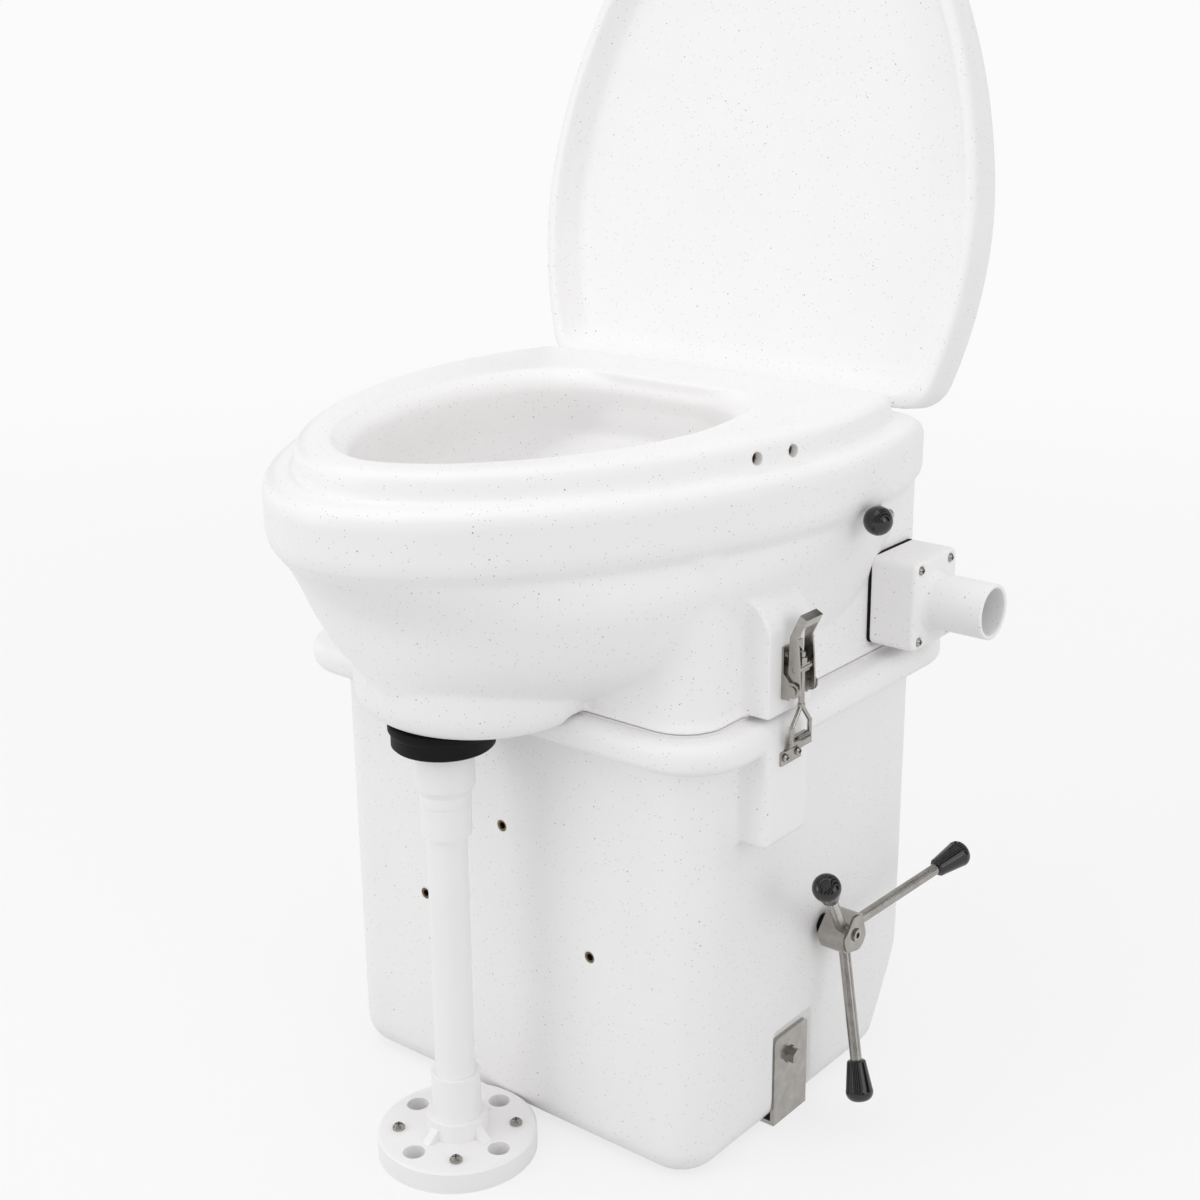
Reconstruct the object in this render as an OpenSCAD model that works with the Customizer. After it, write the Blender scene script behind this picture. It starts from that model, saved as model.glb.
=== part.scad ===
// Composting toilet, moulded seat model with a front urine drain pipe.
// Millimetres. +X is the side with the crank, the front is -Y, +Z is up.
// The origin is on the floor, at the centre of the flat that the base stands on.

/* [Base] */
// Width of the base across its side walls, at the floor
base_w = 315; // [308:1:320]
// Depth of the base, from the front wall to the rear wall, at the floor
base_d = 276; // [272:1:280]
// Height of the base to the top of its rim
base_h = 320; // [312:1:326]
// Thickness of the moulded walls
wall = 6; // [5:0.5:7]
// Outward lean of the base walls over their height
draft = 1; // [0.5:0.5:2]
// Radius of the upright corners of the base
corner_r = 30; // [27:1:34]
// Height of the thick rim round the mouth of the base
rim_h = 21; // [19:1:25]
// How far the rim stands out from the walls
rim_out = 23.5; // [22:0.5:25]

/* [Head] */
// Height of the seat above the floor
seat_h = 494; // [486:1:502]
// Width of the seat
seat_w = 338; // [326:1:342]
// How far the seat reaches in front of its widest point
seat_front = 272; // [262:1:276]
// Height of the raised seat above the ledge round it
seat_rise = 18; // [15:1:20]
// Height of the broad band under the ledge
band_h = 42; // [36:1:44]
// How far the band stands out beyond the seat
band_out = 18.5; // [17:0.5:20]
// Width of the opening in the seat
opening_w = 212; // [196:1:220]
// Length of the opening in the seat
opening_l = 274; // [256:1:278]

/* [Lid] */
// Angle that the lid leans back when open
lid_lean = 9.2; // [6:0.2:12]
// Height of the lip round the edge of the lid
lid_lip = 31; // [28:1:34]
// Diameter of the hinge pins of the lid
lid_pin_d = 6; // [5:0.5:6]

/* [Trap] */
// Diameter of the trap shaft
trap_rod_d = 8; // [7:0.5:9]
// Diameter of the ball on the trap handle
ball_d = 19; // [18:0.5:20]

/* [Agitator] */
// Height of the agitator shaft above the floor
shaft_z = 133.6; // [131:0.1:136]
// Diameter of the agitator shaft
shaft_d = 10; // [9:0.5:11]
// Reach of the agitator bars from the middle of the shaft
agitator_r = 100; // [90:1:102]
// Diameter of the agitator bars
bar_d = 8; // [7:0.5:10]

/* [Crank] */
// Length of each crank spoke, from the middle of the hub to the knob
spoke_l = 88; // [82:1:96]
// Diameter of the crank spokes
spoke_d = 8; // [7:0.5:9]
// Outward lean of the spokes
spoke_lean = 17.5; // [14:0.5:20]
// Length of the crank knobs
knob_l = 28; // [25:1:32]
// Largest diameter of the crank knobs
knob_d = 19; // [18:0.5:22]

/* [Vent] */
// Height of the vent housing
vent_h = 62; // [60:1:63]
// Width of the vent housing, front to back
vent_w = 56; // [55:1:58]
// How far the vent housing stands out from its gasket
vent_out = 34; // [32:1:36]
// Outer diameter of the hose stub
stub_d = 38; // [36:0.5:40]
// Length of the hose stub
stub_l = 44; // [38:1:48]
// Side of the square fan inside the vent housing
fan_s = 40; // [38:0.5:40]

/* [Latch] */
// Distance from the lever rivet up to the bail pin, in the closed latch
latch_throw = 13; // [12:0.5:14]
// Length of the bail, from its pin down to its bar
bail_l = 47; // [45.5:0.5:48.5]
// Width of the latch lever
lever_w = 18; // [17:0.5:20]

/* [Drain] */
// Distance of the drain pipe in front of the origin
drain_y = 166; // [163:1:168]
// Outer diameter of the drain pipe
pipe_d = 26.7; // [25:0.1:27.5]
// Diameter of the floor flange
flange_d = 108; // [104:1:112]
// Thickness of the floor flange
flange_t = 15.5; // [13:0.5:18]
// Diameter of the circle that the flange screws and holes lie on
flange_pcd = 79.4; // [77:0.1:81]
// Outer diameter of the black rubber boot
boot_d = 70.5; // [67:0.5:72]

/* [Brackets] */
// Width of each foot bracket
bracket_w = 40; // [36:1:44]
// Height of each foot bracket
bracket_h = 67; // [62:1:70]

/* [Hidden] */

$fn = 64;
eps = 0.01;
fit = 0.1;
seat_gap = 0.3;

shell_white = "whitesmoke";
steel = "lightsteelblue";
rubber = "#1c1c1e";
phenolic = "#111113";
pvc = "#f4f4f2";
brass = "#b5883c";

// ---- shared places -------------------------------------------------------------------------

// Places along Y of the walls of the base, at the floor
front_y = -113;
rear_y = front_y + base_d;
mid_y = (front_y + rear_y) / 2;
floor_r = 22;
bevel_h = 110;
bevel_run = 60;
rim_z = base_h - rim_h;
rim_x = base_w / 2 + draft + rim_out;
rim_front = front_y - draft - rim_out + 4;
rim_rear = rear_y + draft + rim_out - 8;
rim_corner = 45;

// The gasket between the rim and the head, and the foot of the head on it
gasket_t = 2;
head_z = base_h + gasket_t;
head_x = rim_x - 21;
head_foot = 3.5;
head_front = rim_front + 16;
head_rear = rim_rear - 29.5;
head_corner = 27;
head_rear_corner = 17;

// The seat outline: widest place along Y, and its rear edge
wide_y = 21;
seat_rear = 122;
ledge_z = seat_h - seat_rise;
band_bottom = ledge_z - band_h;
band_rear = head_rear;

// The lid hinge axis and the lip of the closed lid
lid_axis_y = 140.5;
lid_axis_z = ledge_z + 3;
lid_plane = ledge_z + 2;
lid_rear = lid_axis_y + 1;
lid_rest = 90 + lid_lean;
knuckle_r = lid_pin_d / 2 + 2.5;
knuckle_w = 30;
knuckle_x = 70;
lug_w = 9;

// The trap axis, and the slope of the closed trap door
trap_y = 56;
trap_z = seat_h - 65;
trap_slope = 29;
trap_len = 148;
trap_half = 68;
trap_t = 3;
handle_x = 188;
handle_end = [196, 31, 432];

// The agitator axis, along X
shaft_y = 39.1;
side_x = base_w / 2 + draft * (shaft_z - floor_r) / (base_h - floor_r);
hub_x = side_x + 16.5;
hub_l = 22;
crank_phase = 136;

// The vent axis, along X
vent_y = head_rear - vent_w / 2 - 14;
vent_z = head_z + vent_h / 2 + 6.5;
stub_bore = stub_d - 6;
fan_t = 12;
intake_out = 12;

// The latch: middle along Y, face of the bosses, rivet and hook
latch_y = -44;
boss_w = 48;
boss_x = rim_x;
boss_drop = 83;
boss_rise = 63;
rivet_z = head_z + 19.7;
rivet_x = boss_x + 8;
bail_pin_z = rivet_z + latch_throw;
bail_bar_z = bail_pin_z - bail_l;
wire_d = 3;
sheet = 1.5;

// The drain column
sump_z = 313;
boot_h = 17;

// ---- shared shapes -------------------------------------------------------------------------

// The n + 1 ends of n equal steps from a to b
function steps(a, b, n) = [for (i = [0 : n]) a + (b - a) * i / n];

// Outline of the seat family: an egg front, sides that draw in, and round rear corners.
// w is the half width, yf the front, yr the rear, rc the rear corner radius.
corner_turn = 18;
corner_n = 5;
side_n = 4;
front_n = 13;
egg_power = 1.15;
function rear_join(yr, rc) = yr - rc + rc * sin(corner_turn);
function rear_centre(w, yr, rc, yc) = w - (rear_join(yr, rc) - yc) / 2 * tan(corner_turn) - rc * cos(corner_turn);
function egg_side(w, yf, yr, rc, yc) = concat(
    [for (a = steps(90, corner_turn, corner_n))
        [rear_centre(w, yr, rc, yc) + rc * cos(a), yr - rc + rc * sin(a)]],
    [for (t = steps(1 - 1 / side_n, 1 / side_n, side_n - 2))
        [w - (rear_join(yr, rc) - yc) / 2 * tan(corner_turn) * t * t, yc + (rear_join(yr, rc) - yc) * t]],
    [for (a = steps(0, 90 - 90 / front_n, front_n - 1))
        [w * pow(cos(a), egg_power), yc - (yc - yf) * pow(sin(a), egg_power)]]);
function mirrored(side) = [for (i = [len(side) - 1 : -1 : 0]) [-side[i][0], side[i][1]]];
function egg(w, yf, yr, rc, yc = wide_y) = concat(
    egg_side(w, yf, yr, rc, yc), [[0, yf]], mirrored(egg_side(w, yf, yr, rc, yc)));

// A ring at height z, which rises by tilt per millimetre towards the rear from its front
function front_of(outline) = min([for (p = outline) p[1]]);
function ring(outline, z, tilt = 0) = [for (p = outline) [p[0], p[1], z + tilt * (p[1] - front_of(outline))]];

// A solid through a stack of rings with equal point counts, from the lowest ring up
module loft(rings) {
    n = len(rings[0]);
    m = len(rings);
    points = [for (r = rings) for (p = r) p];
    walls = [for (k = [0 : m - 2]) for (i = [0 : n - 1]) for (s = [0, 1])
        s == 0 ? [k * n + i, k * n + (i + 1) % n, (k + 1) * n + i]
            : [k * n + (i + 1) % n, (k + 1) * n + (i + 1) % n, (k + 1) * n + i]];
    caps = [[for (i = [n - 1 : -1 : 0]) i], [for (i = [0 : n - 1]) (m - 1) * n + i]];
    polyhedron(points, concat(walls, caps));
}

// A rectangle with round corners, from x0 to x1 and y0 to y1
module round_rect(x0, x1, y0, y1, r) {
    union() {
        translate([x0 + r, y0])
            square([x1 - x0 - 2 * r, y1 - y0]);
        translate([x0, y0 + r])
            square([x1 - x0, y1 - y0 - 2 * r]);
        for (x = [x0 + r, x1 - r])
            for (y = [y0 + r, y1 - r])
                translate([x, y])
                    circle(r);
    }
}

// A cylinder along +X, from x0
module rod_x(x0, length, d) {
    translate([x0, 0, 0])
        rotate([0, 90, 0])
            cylinder(h = length, d = d);
}

// A cylinder along +Y, from y0
module rod_y(y0, length, d) {
    translate([0, y0, 0])
        rotate([-90, 0, 0])
            cylinder(h = length, d = d);
}

// A ring along +X
module tube_x(x0, length, d, bore) {
    difference() {
        rod_x(x0, length, d);
        rod_x(x0 - 1, length + 2, bore);
    }
}

// A pan head screw: the underside of its head on z = 0, its shank below
module pan_screw(head_d, head_h, shank_d, shank_l, slot = 1) {
    difference() {
        union() {
            cylinder(h = head_h * 0.5, d = head_d);
            translate([0, 0, head_h * 0.5 - eps])
                cylinder(h = head_h * 0.5, d1 = head_d, d2 = head_d * 0.6);
        }
        for (a = [0, 90])
            rotate([0, 0, a])
                translate([-head_d * 0.3, -slot / 2, head_h * 0.45])
                    cube([head_d * 0.6, slot, head_h]);
    }
    translate([0, 0, -shank_l])
        cylinder(h = shank_l + eps, d = shank_d);
}

// A cylinder from point p to point q
module bar(p, q, d) {
    v = q - p;
    translate(p)
        rotate([0, acos(v[2] / norm(v)), atan2(v[1], v[0])])
            cylinder(h = norm(v), d = d);
}

// The children on both sides of the middle
module both_sides() {
    children();
    mirror([1, 0, 0])
        children();
}

// ---- base ----------------------------------------------------------------------------------

// Points on an arc of radius r round [x, y]
function arc(x, y, r, a0, a1) = [for (a = steps(a0, a1, 6)) [x + r * cos(a), y + r * sin(a)]];

// Side view of the tub, inset by i, as [y, z]: round at the floor, and bevelled at the rear
bevel_l = sqrt(bevel_run * bevel_run + bevel_h * bevel_h);
bevel_a = atan2(bevel_h, bevel_run);
knee_round = 30;
function floor_round(i) = floor_r - i / 2;
function tub_top(i) = base_h + (i > 0 ? 1 : 0);
function foot_y(i) = rear_y - bevel_run - i * (bevel_l - bevel_run) / bevel_h
    - floor_round(i) * tan(bevel_a / 2);
function knee_z(i) = (i * bevel_l + (bevel_run - i) * bevel_h) / bevel_run
    + (knee_round - i) * tan((90 - bevel_a) / 2);
function tub_side(i) = concat(
    [[front_y + i - draft, tub_top(i)]],
    arc(front_y + i + floor_round(i), i + floor_round(i), floor_round(i), 180, 270),
    arc(foot_y(i), i + floor_round(i), floor_round(i), 270, 270 + bevel_a),
    arc(rear_y - knee_round, knee_z(i), knee_round - i, bevel_a - 90, 0),
    [[rear_y - i + draft, tub_top(i)]]);

// Front view of the tub, inset by i, as [x, z]
function tub_front(i) = concat(
    [[i - base_w / 2 - draft, tub_top(i)]],
    arc(i + floor_round(i) - base_w / 2, i + floor_round(i), floor_round(i), 180, 270),
    arc(base_w / 2 - i - floor_round(i), i + floor_round(i), floor_round(i), 270, 360),
    [[base_w / 2 + draft - i, tub_top(i)]]);

module tub_block(i) {
    intersection() {
        linear_extrude(base_h + 2)
            round_rect(i - base_w / 2 - draft, base_w / 2 + draft - i,
                front_y - draft + i, rear_y + draft - i, corner_r - i);
        rotate([90, 0, 90])
            translate([0, 0, -base_w])
                linear_extrude(2 * base_w)
                    polygon(tub_side(i));
        rotate([90, 0, 0])
            translate([0, 0, -2 * base_d])
                linear_extrude(4 * base_d)
                    polygon(tub_front(i));
    }
}

// Outline of the rim, inset by i, as a list of points
rim_n = 7;
function rim_corner_pts(x, y, i, a0) =
    [for (a = steps(a0, a0 - 90, rim_n)) [x + (rim_corner - i) * cos(a), y + (rim_corner - i) * sin(a)]];
function rim_outline(i) = concat(
    rim_corner_pts(rim_x - rim_corner, rim_rear - rim_corner, i, 90),
    rim_corner_pts(rim_x - rim_corner, rim_front + rim_corner, i, 0),
    rim_corner_pts(rim_corner - rim_x, rim_front + rim_corner, i, 270),
    rim_corner_pts(rim_corner - rim_x, rim_rear - rim_corner, i, 180));

// The thick rim, with round edges
rim_round = 7;
module rim() {
    low = [for (a = steps(0, 90, 4)) ring(rim_outline(rim_round * (1 - sin(a))), rim_z + rim_round * (1 - cos(a)))];
    high = [for (a = steps(90, 0, 4)) ring(rim_outline(rim_round * (1 - sin(a))), base_h - rim_round * (1 - cos(a)))];
    loft(concat(low, high));
}

// The pads under the rim that carry the latch catches
module base_boss() {
    translate([base_w / 2 - 8, latch_y - boss_w / 2, base_h - boss_drop])
        linear_extrude(boss_drop - rim_round - 1)
            round_rect(0, boss_x - base_w / 2 + 8, 0, boss_w, 4);
}

// Recess for a foot bracket, in the side wall and under the floor
pocket_d = 3.2;
bracket_y = 4;
bracket_t = 3;
bracket_foot = 34;
bracket_bolt_z = 47.3;
module bracket_pocket() {
    translate([base_w / 2 - pocket_d, bracket_y - bracket_w / 2 - 1.5, -1])
        cube([pocket_d + 10, bracket_w + 6, bracket_h + 7]);
    translate([base_w / 2 - pocket_d - bracket_foot - 2, bracket_y - bracket_w / 2 - 1.5, -1])
        cube([bracket_foot + 10, bracket_w + 6, 1 + pocket_d]);
}

// Places of the threaded inserts in the front wall, as [x, z]
insert_at = [[0, 219], [-74.6, 145.6], [74.6, 145.6]];
insert_d = 8;
insert_l = 12;
function front_wall(z) = front_y - draft * (z - floor_r) / (base_h - floor_r);

bush_d = shaft_d + 3;
m6 = 6;

module base_tub() {
    color(shell_white)
        difference() {
            union() {
                difference() {
                    union() {
                        tub_block(0);
                        rim();
                        both_sides()
                            base_boss();
                    }
                    tub_block(wall);
                }
                for (p = insert_at)
                    translate([p[0], front_wall(p[1]) + wall / 2, p[1]])
                        rod_y(0, wall / 2 + 8, insert_d + 10);
            }
            both_sides() {
                bracket_pocket();
                translate([0, shaft_y, shaft_z])
                    rod_x(base_w / 2 - 20, 40, bush_d + 2 * fit);
                translate([0, bracket_y, bracket_bolt_z])
                    rod_x(base_w / 2 - 20, 40, m6 + 0.6);
                catch_screw_places()
                    rod_x(boss_x - catch_screw_l - 1, catch_screw_l + 2, catch_screw_d + 2 * fit);
            }
            for (p = insert_at)
                translate([p[0], front_wall(p[1]) - 1, p[1]])
                    rod_y(0, insert_l + 1.5, insert_d + 2 * fit);
            translate([0, -drain_y, rim_z - 1])
                cylinder(h = sump_z + seat_gap - rim_z + 1, d = boot_d + 2 * seat_gap);
        }
}

module front_inserts() {
    color(brass)
        for (p = insert_at)
            translate([p[0], front_wall(p[1]) + 0.5, p[1]])
                difference() {
                    rod_y(0, insert_l - 0.5, insert_d);
                    rod_y(-1, insert_l - 2, 5);
                }
}

// ---- head ----------------------------------------------------------------------------------

// The seat outline grown by d, with its rear edge at yr
seat_corner = 12;
function seat_line(d, yr, rc) = egg(seat_w / 2 + d, wide_y - seat_front - d, yr, rc);

// The edge of the band, inset by i; in front it stands out more than at the sides
band_corner = 28;
band_front = wide_y - seat_front - band_out - 4;
function band_line(i) = egg(seat_w / 2 + band_out - i, band_front + i, band_rear - i, band_corner);

// Rings of the cone of the bowl: height in front, half width, front, rear, and rise to the rear
bowl_foot_z = sump_z + 13;
cone = [[bowl_foot_z - 3, 140, -207, 118, 0.21], [bowl_foot_z, 145, -212, 122, 0.21],
    [bowl_foot_z + 42, 158, -234, 131, 0.1], [bowl_foot_z + 70, 168, -250, 138, 0.03]];
module bowl_outer() {
    loft(concat(
        [for (c = cone) ring(egg(c[1], c[2], c[3], 22), c[0], c[4])],
        [for (e = [[-4, 7], [0, 4], [4, 1.3], [10, 0]])
            ring(band_line(e[1]), band_bottom + e[0])],
        [for (e = [[-10, 0], [-5, 1.4], [-2, 4.4], [0, 9]])
            ring(band_line(e[1]), ledge_z + e[0])],
        [ring(seat_line(2, seat_rear + 2, seat_corner), ledge_z),
            ring(seat_line(0.3, seat_rear + 0.3, seat_corner), ledge_z + 2)],
        [for (e = [[-8, -0.3], [-4, -1.8], [-1.2, -5.5], [0, -11]])
            ring(seat_line(e[1], seat_rear + e[1], seat_corner), seat_h + e[0])]));
}

// Plan of the body under the seat, grown by d: wide round corners in front, small ones behind
module body_plan(d) {
    union() {
        intersection() {
            round_rect(-head_x - d, head_x + d, head_front - d, head_rear + 100, head_corner + d);
            translate([-2 * head_x, head_front - d])
                square([4 * head_x, mid_y - head_front + d]);
        }
        intersection() {
            round_rect(-head_x - d, head_x + d, head_front - 100, head_rear + d, head_rear_corner);
            translate([-2 * head_x, mid_y - 1])
                square([4 * head_x, head_rear - mid_y + 1 + d]);
        }
    }
}

// The shallow pan in front that gathers the urine
sump_r = 81;
sump_y = -130.5;
sump_edge = 20;
module sump() {
    difference() {
        translate([0, sump_y, 0])
            rotate_extrude($fn = 96)
                union() {
                    translate([0, sump_z])
                        square([sump_r - sump_edge, 46]);
                    translate([0, sump_z + sump_edge])
                        square([sump_r, 32]);
                    translate([sump_r - sump_edge, sump_z + sump_edge])
                        circle(sump_edge);
                }
        translate([-sump_r - 1, rim_front - seat_gap, sump_z - 1])
            cube([2 * sump_r + 2, 2 * sump_r, head_z - sump_z + 1]);
    }
}

// The pads on the body that carry the latches, with a sloped top
module head_boss() {
    translate([0, latch_y + boss_w / 2, 0])
        rotate([90, 0, 0])
            linear_extrude(boss_w)
                polygon([[head_x - 20, head_z + 1.5], [boss_x, head_z + 1.5], [boss_x, head_z + boss_rise - 5],
                    [boss_x - 2, head_z + boss_rise], [boss_x - 6, head_z + boss_rise + 6],
                    [head_x - 2, head_z + boss_rise + 22], [head_x - 20, head_z + boss_rise + 22]]);
}

// Places along the closed trap door: s down the slope, n above it
function trap_point(s, n) = [trap_y - s * cos(trap_slope) - n * sin(trap_slope),
    trap_z - s * sin(trap_slope) + n * cos(trap_slope)];
floor_n = 8;
floor_t = 8;
urine_y = -150;
urine_z = sump_z + 7;

// Side view of all that lies above the floors of the bowl, as [y, z]
module bowl_side() {
    polygon([[-300, seat_h + 10], [-300, urine_z], [urine_y, urine_z],
        trap_point(trap_len + 6, floor_n + floor_t), trap_point(-12, floor_n + floor_t),
        [trap_point(-12, floor_n + floor_t)[0], seat_h + 10]]);
}

// The bowl, from the opening in the seat down to its floors
open_y = -50;
open_f = -217;
module bowl_inner() {
    intersection() {
        loft([for (e = [[urine_z - 5, -48, 30], [urine_z + 12, -36, 20], [392, -5, 12], [440, 8, 8],
            [seat_h - 20, 1, 0], [seat_h - 12, 0, 0], [seat_h - 6, 2.5, 0], [seat_h - 2, 7, 0],
            [seat_h + 1, 11, 0]])
            ring(egg(opening_w / 2 + e[1], open_f + e[2] - max(e[1], 0) * (e[2] > 0 ? 0 : 1),
                open_f + opening_l + e[1], 0.62 * (opening_w / 2 + e[1]), open_y), e[0])]);
        rotate([90, 0, 90])
            translate([0, 0, -200])
                linear_extrude(400)
                    bowl_side();
    }
}

// The way out of the bowl over the trap door
outlet_half = 60;
module outlet() {
    translate([0, trap_y, trap_z])
        rotate([trap_slope, 0, 0])
            translate([0, 0, floor_n - 2])
                linear_extrude(floor_t + 4)
                    round_rect(-outlet_half, outlet_half, 8 - trap_len, -14, 20);
}

// The space under the floor of the bowl, open to the base
module under_bowl() {
    intersection() {
        linear_extrude(seat_h)
            body_plan(-wall);
        rotate([90, 0, 90])
            translate([0, 0, -head_x])
                linear_extrude(2 * head_x)
                    polygon([[head_front, head_z - 1], [head_rear, head_z - 1], [head_rear, trap_z + 12],
                        trap_point(-12, floor_n), trap_point(trap_len + 10, floor_n),
                        [head_front + wall, head_z + 14], [head_front, head_z + 14]]);
    }
}

vent_bore = 36;
trap_bush_d = trap_rod_d + 4;
trap_bush_l = 12;
drain_bore = 20;
spigot_d = 39;
reducer_d = spigot_d;

// The lugs behind the seat that hold the lid pins, on both sides of each lid knuckle
module at_lugs() {
    for (x = [-knuckle_x, knuckle_x])
        for (s = [-1, 1])
            translate([x + s * (knuckle_w / 2 + 0.5 + lug_w / 2) - lug_w / 2, lid_axis_y, lid_axis_z])
                children();
}

module lid_lugs() {
    at_lugs() {
        rod_x(0, lug_w, 2 * knuckle_r);
        translate([0, -knuckle_r, -knuckle_r - 4])
            cube([lug_w, 2 * knuckle_r, knuckle_r + 4]);
    }
}

module head_bowl() {
    color(shell_white)
        difference() {
            union() {
                bowl_outer();
                translate([0, 0, head_z])
                    linear_extrude(band_bottom + 5 - head_z)
                        body_plan(0);
                translate([0, 0, head_z])
                    linear_extrude(head_foot)
                        body_plan(head_foot);
                sump();
                both_sides()
                    head_boss();
                lid_lugs();
                translate([0, -drain_y, sump_z - 8])
                    cylinder(h = 10, d = spigot_d);
            }
            bowl_inner();
            outlet();
            under_bowl();
            translate([0, -drain_y, sump_z - 10])
                cylinder(h = 40, d = drain_bore);
            both_sides() {
                translate([0, vent_y, vent_z])
                    rod_x(head_x - 10, 12, vent_bore);
                vent_screw_places()
                    rod_x(head_x - 5, 6, 3 + 2 * fit);
                latch_screw_places()
                    rod_x(boss_x - 9, 10, catch_screw_d + 2 * fit);
                translate([0, trap_y, trap_z])
                    rod_x(head_x - wall - 1, trap_bush_l + 1, trap_bush_d + 2 * fit);
            }
            translate([0, trap_y, trap_z])
                rod_x(head_x - wall + trap_bush_l - 1, 40, trap_rod_d + 3);
            for (x = [-knuckle_x, knuckle_x])
                translate([x - knuckle_w / 2 - 1, lid_axis_y, lid_axis_z])
                    rod_x(0, knuckle_w + 2, 2 * knuckle_r + 1.6);
            for (x = [-knuckle_x, knuckle_x])
                translate([x - knuckle_w / 2 - lug_w - 2, lid_axis_y, lid_axis_z])
                    rod_x(0, knuckle_w + 2 * lug_w + 4, lid_pin_d + 0.1);
            for (y = seat_insert_y)
                translate([0, y, seat_insert_z])
                    rod_x(seat_side(y) - 14, 40, insert_d + 2 * fit);
        }
}

// Threaded inserts in the side of the seat, for an accessory
seat_insert_y = [-51, -21];
seat_insert_z = seat_h - 11;
function seat_side(y) = (seat_w / 2) * pow(1 - pow((wide_y - y) / seat_front, 2 / egg_power), egg_power / 2);
module seat_inserts() {
    color(brass)
        for (y = seat_insert_y)
            translate([0, y, seat_insert_z])
                difference() {
                    rod_x(seat_side(y) - 14, 10, insert_d);
                    rod_x(seat_side(y) - 10, 8, 5);
                }
}

module rim_gasket() {
    color(rubber)
        translate([0, 0, base_h])
            linear_extrude(gasket_t)
                difference() {
                    body_plan(head_foot - 2);
                    body_plan(-2);
                }
}

// ---- lid -----------------------------------------------------------------------------------

// The lid closed on the seat
lid_corner = 26;
lid_grow = 16;
function lid_line(d) = egg(seat_w / 2 + lid_grow + d, wide_y - seat_front - lid_grow - d, lid_rear + d, lid_corner);
module lid_closed() {
    difference() {
        union() {
            loft([for (e = [[0, -3], [1, -1], [3, 0], [lid_lip - 4, 0], [lid_lip + 1, -2], [lid_lip + 4, -7],
                [lid_lip + 7, -20], [lid_lip + 10, -52], [lid_lip + 11.5, -90]])
                ring(lid_line(e[1]), lid_plane + e[0])]);
            for (x = [-knuckle_x, knuckle_x])
                translate([x - knuckle_w / 2, lid_axis_y, lid_axis_z])
                    rod_x(0, knuckle_w, 2 * knuckle_r);
        }
        loft([for (e = [[-1, -8.5], [1.5, -10], [8, -12], [14, -15.5], [17, -19], [18.5, -25]])
            ring(lid_line(e[1]), lid_plane + e[0])]);
        for (x = [-knuckle_x, knuckle_x])
            translate([x - knuckle_w / 2 - 1, lid_axis_y, lid_axis_z])
                rod_x(0, knuckle_w + 2, lid_pin_d + 0.4);
        at_lugs()
            translate([-0.5, -knuckle_r - 0.8, -knuckle_r - 3])
                cube([lug_w + 1, 3 * knuckle_r, 2 * knuckle_r + 3.8]);
    }
}

module lid() {
    color(shell_white)
        translate([0, lid_axis_y, lid_axis_z])
            rotate([-lid_rest, 0, 0])
                translate([0, -lid_axis_y, -lid_axis_z])
                    lid_closed();
}

module lid_hinge_pins() {
    color(steel)
        for (x = [-knuckle_x, knuckle_x])
            translate([x - knuckle_w / 2 - lug_w, lid_axis_y, lid_axis_z])
                rod_x(0, knuckle_w + 2 * lug_w, lid_pin_d);
}

// ---- trap ----------------------------------------------------------------------------------

// The children in the frame of the closed door: -Y down the slope, +Z up from it
module on_door() {
    translate([0, trap_y, trap_z])
        rotate([trap_slope, 0, 0])
            children();
}

saddle_x = 40;
saddle_w = 20;
trap_screw_y = -10;
module trap_door() {
    color("gainsboro")
        on_door()
            difference() {
                union() {
                    translate([0, 0, trap_rod_d / 2 + 0.3])
                        linear_extrude(trap_t)
                            round_rect(-trap_half, trap_half, -trap_len, 1.5, 18);
                    translate([0, 5 - trap_len, trap_rod_d / 2 - 3])
                        for (x = [-50, 0, 50])
                            translate([x - 2, 0, 0])
                                cube([4, trap_len - 24, 4]);
                    for (x = [-saddle_x, saddle_x])
                        translate([x - saddle_w / 2, -16, -6])
                            cube([saddle_w, 21.5, trap_rod_d / 2 + 7]);
                }
                rod_x(-trap_half - 1, 2 * trap_half + 2, trap_rod_d + 0.1);
                for (x = [-saddle_x, saddle_x])
                    translate([x, trap_screw_y, -7])
                        cylinder(h = 9, d = 4.1);
            }
}

module trap_screws() {
    color(steel)
        on_door()
            for (x = [-saddle_x, saddle_x])
                translate([x, trap_screw_y, -6])
                    rotate([180, 0, 0])
                        pan_screw(8, 3, 4, 7.5);
}

bend_at = [handle_x, trap_y, trap_z];
module trap_shaft() {
    color(steel) {
        union() {
            translate([0, trap_y, trap_z])
                rod_x(-head_x + wall - trap_bush_l + 1, head_x - wall + trap_bush_l - 1 + handle_x, trap_rod_d);
            translate(bend_at)
                sphere(d = trap_rod_d + 0.4);
            bar(bend_at, handle_end, trap_rod_d);
        }
    }
}

module trap_knob() {
    color(phenolic)
        difference() {
            translate(handle_end)
                sphere(d = ball_d);
            bar(bend_at, handle_end, trap_rod_d + 0.1);
        }
}

module trap_bushes() {
    color(pvc)
        both_sides()
            translate([0, trap_y, trap_z]) {
                tube_x(head_x - wall - 1.5, 1.5, trap_bush_d + 4, trap_rod_d + 0.2);
                tube_x(head_x - wall - eps, trap_bush_l, trap_bush_d, trap_rod_d + 0.2);
            }
}

// ---- agitator ------------------------------------------------------------------------------

seal_t = 3;
nut_h = 8;
bolt_d = 5;
module on_shaft() {
    translate([0, shaft_y, shaft_z])
        children();
}

shaft_left = side_x + seal_t + 0.4 + nut_h + 1.5;
shaft_right = hub_x + 3;
module agitator_shaft() {
    color(steel)
        on_shaft()
            difference() {
                rod_x(-shaft_left, shaft_left + shaft_right, shaft_d);
                rod_x(shaft_right - 12, 13, bolt_d + 0.1);
            }
}

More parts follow.
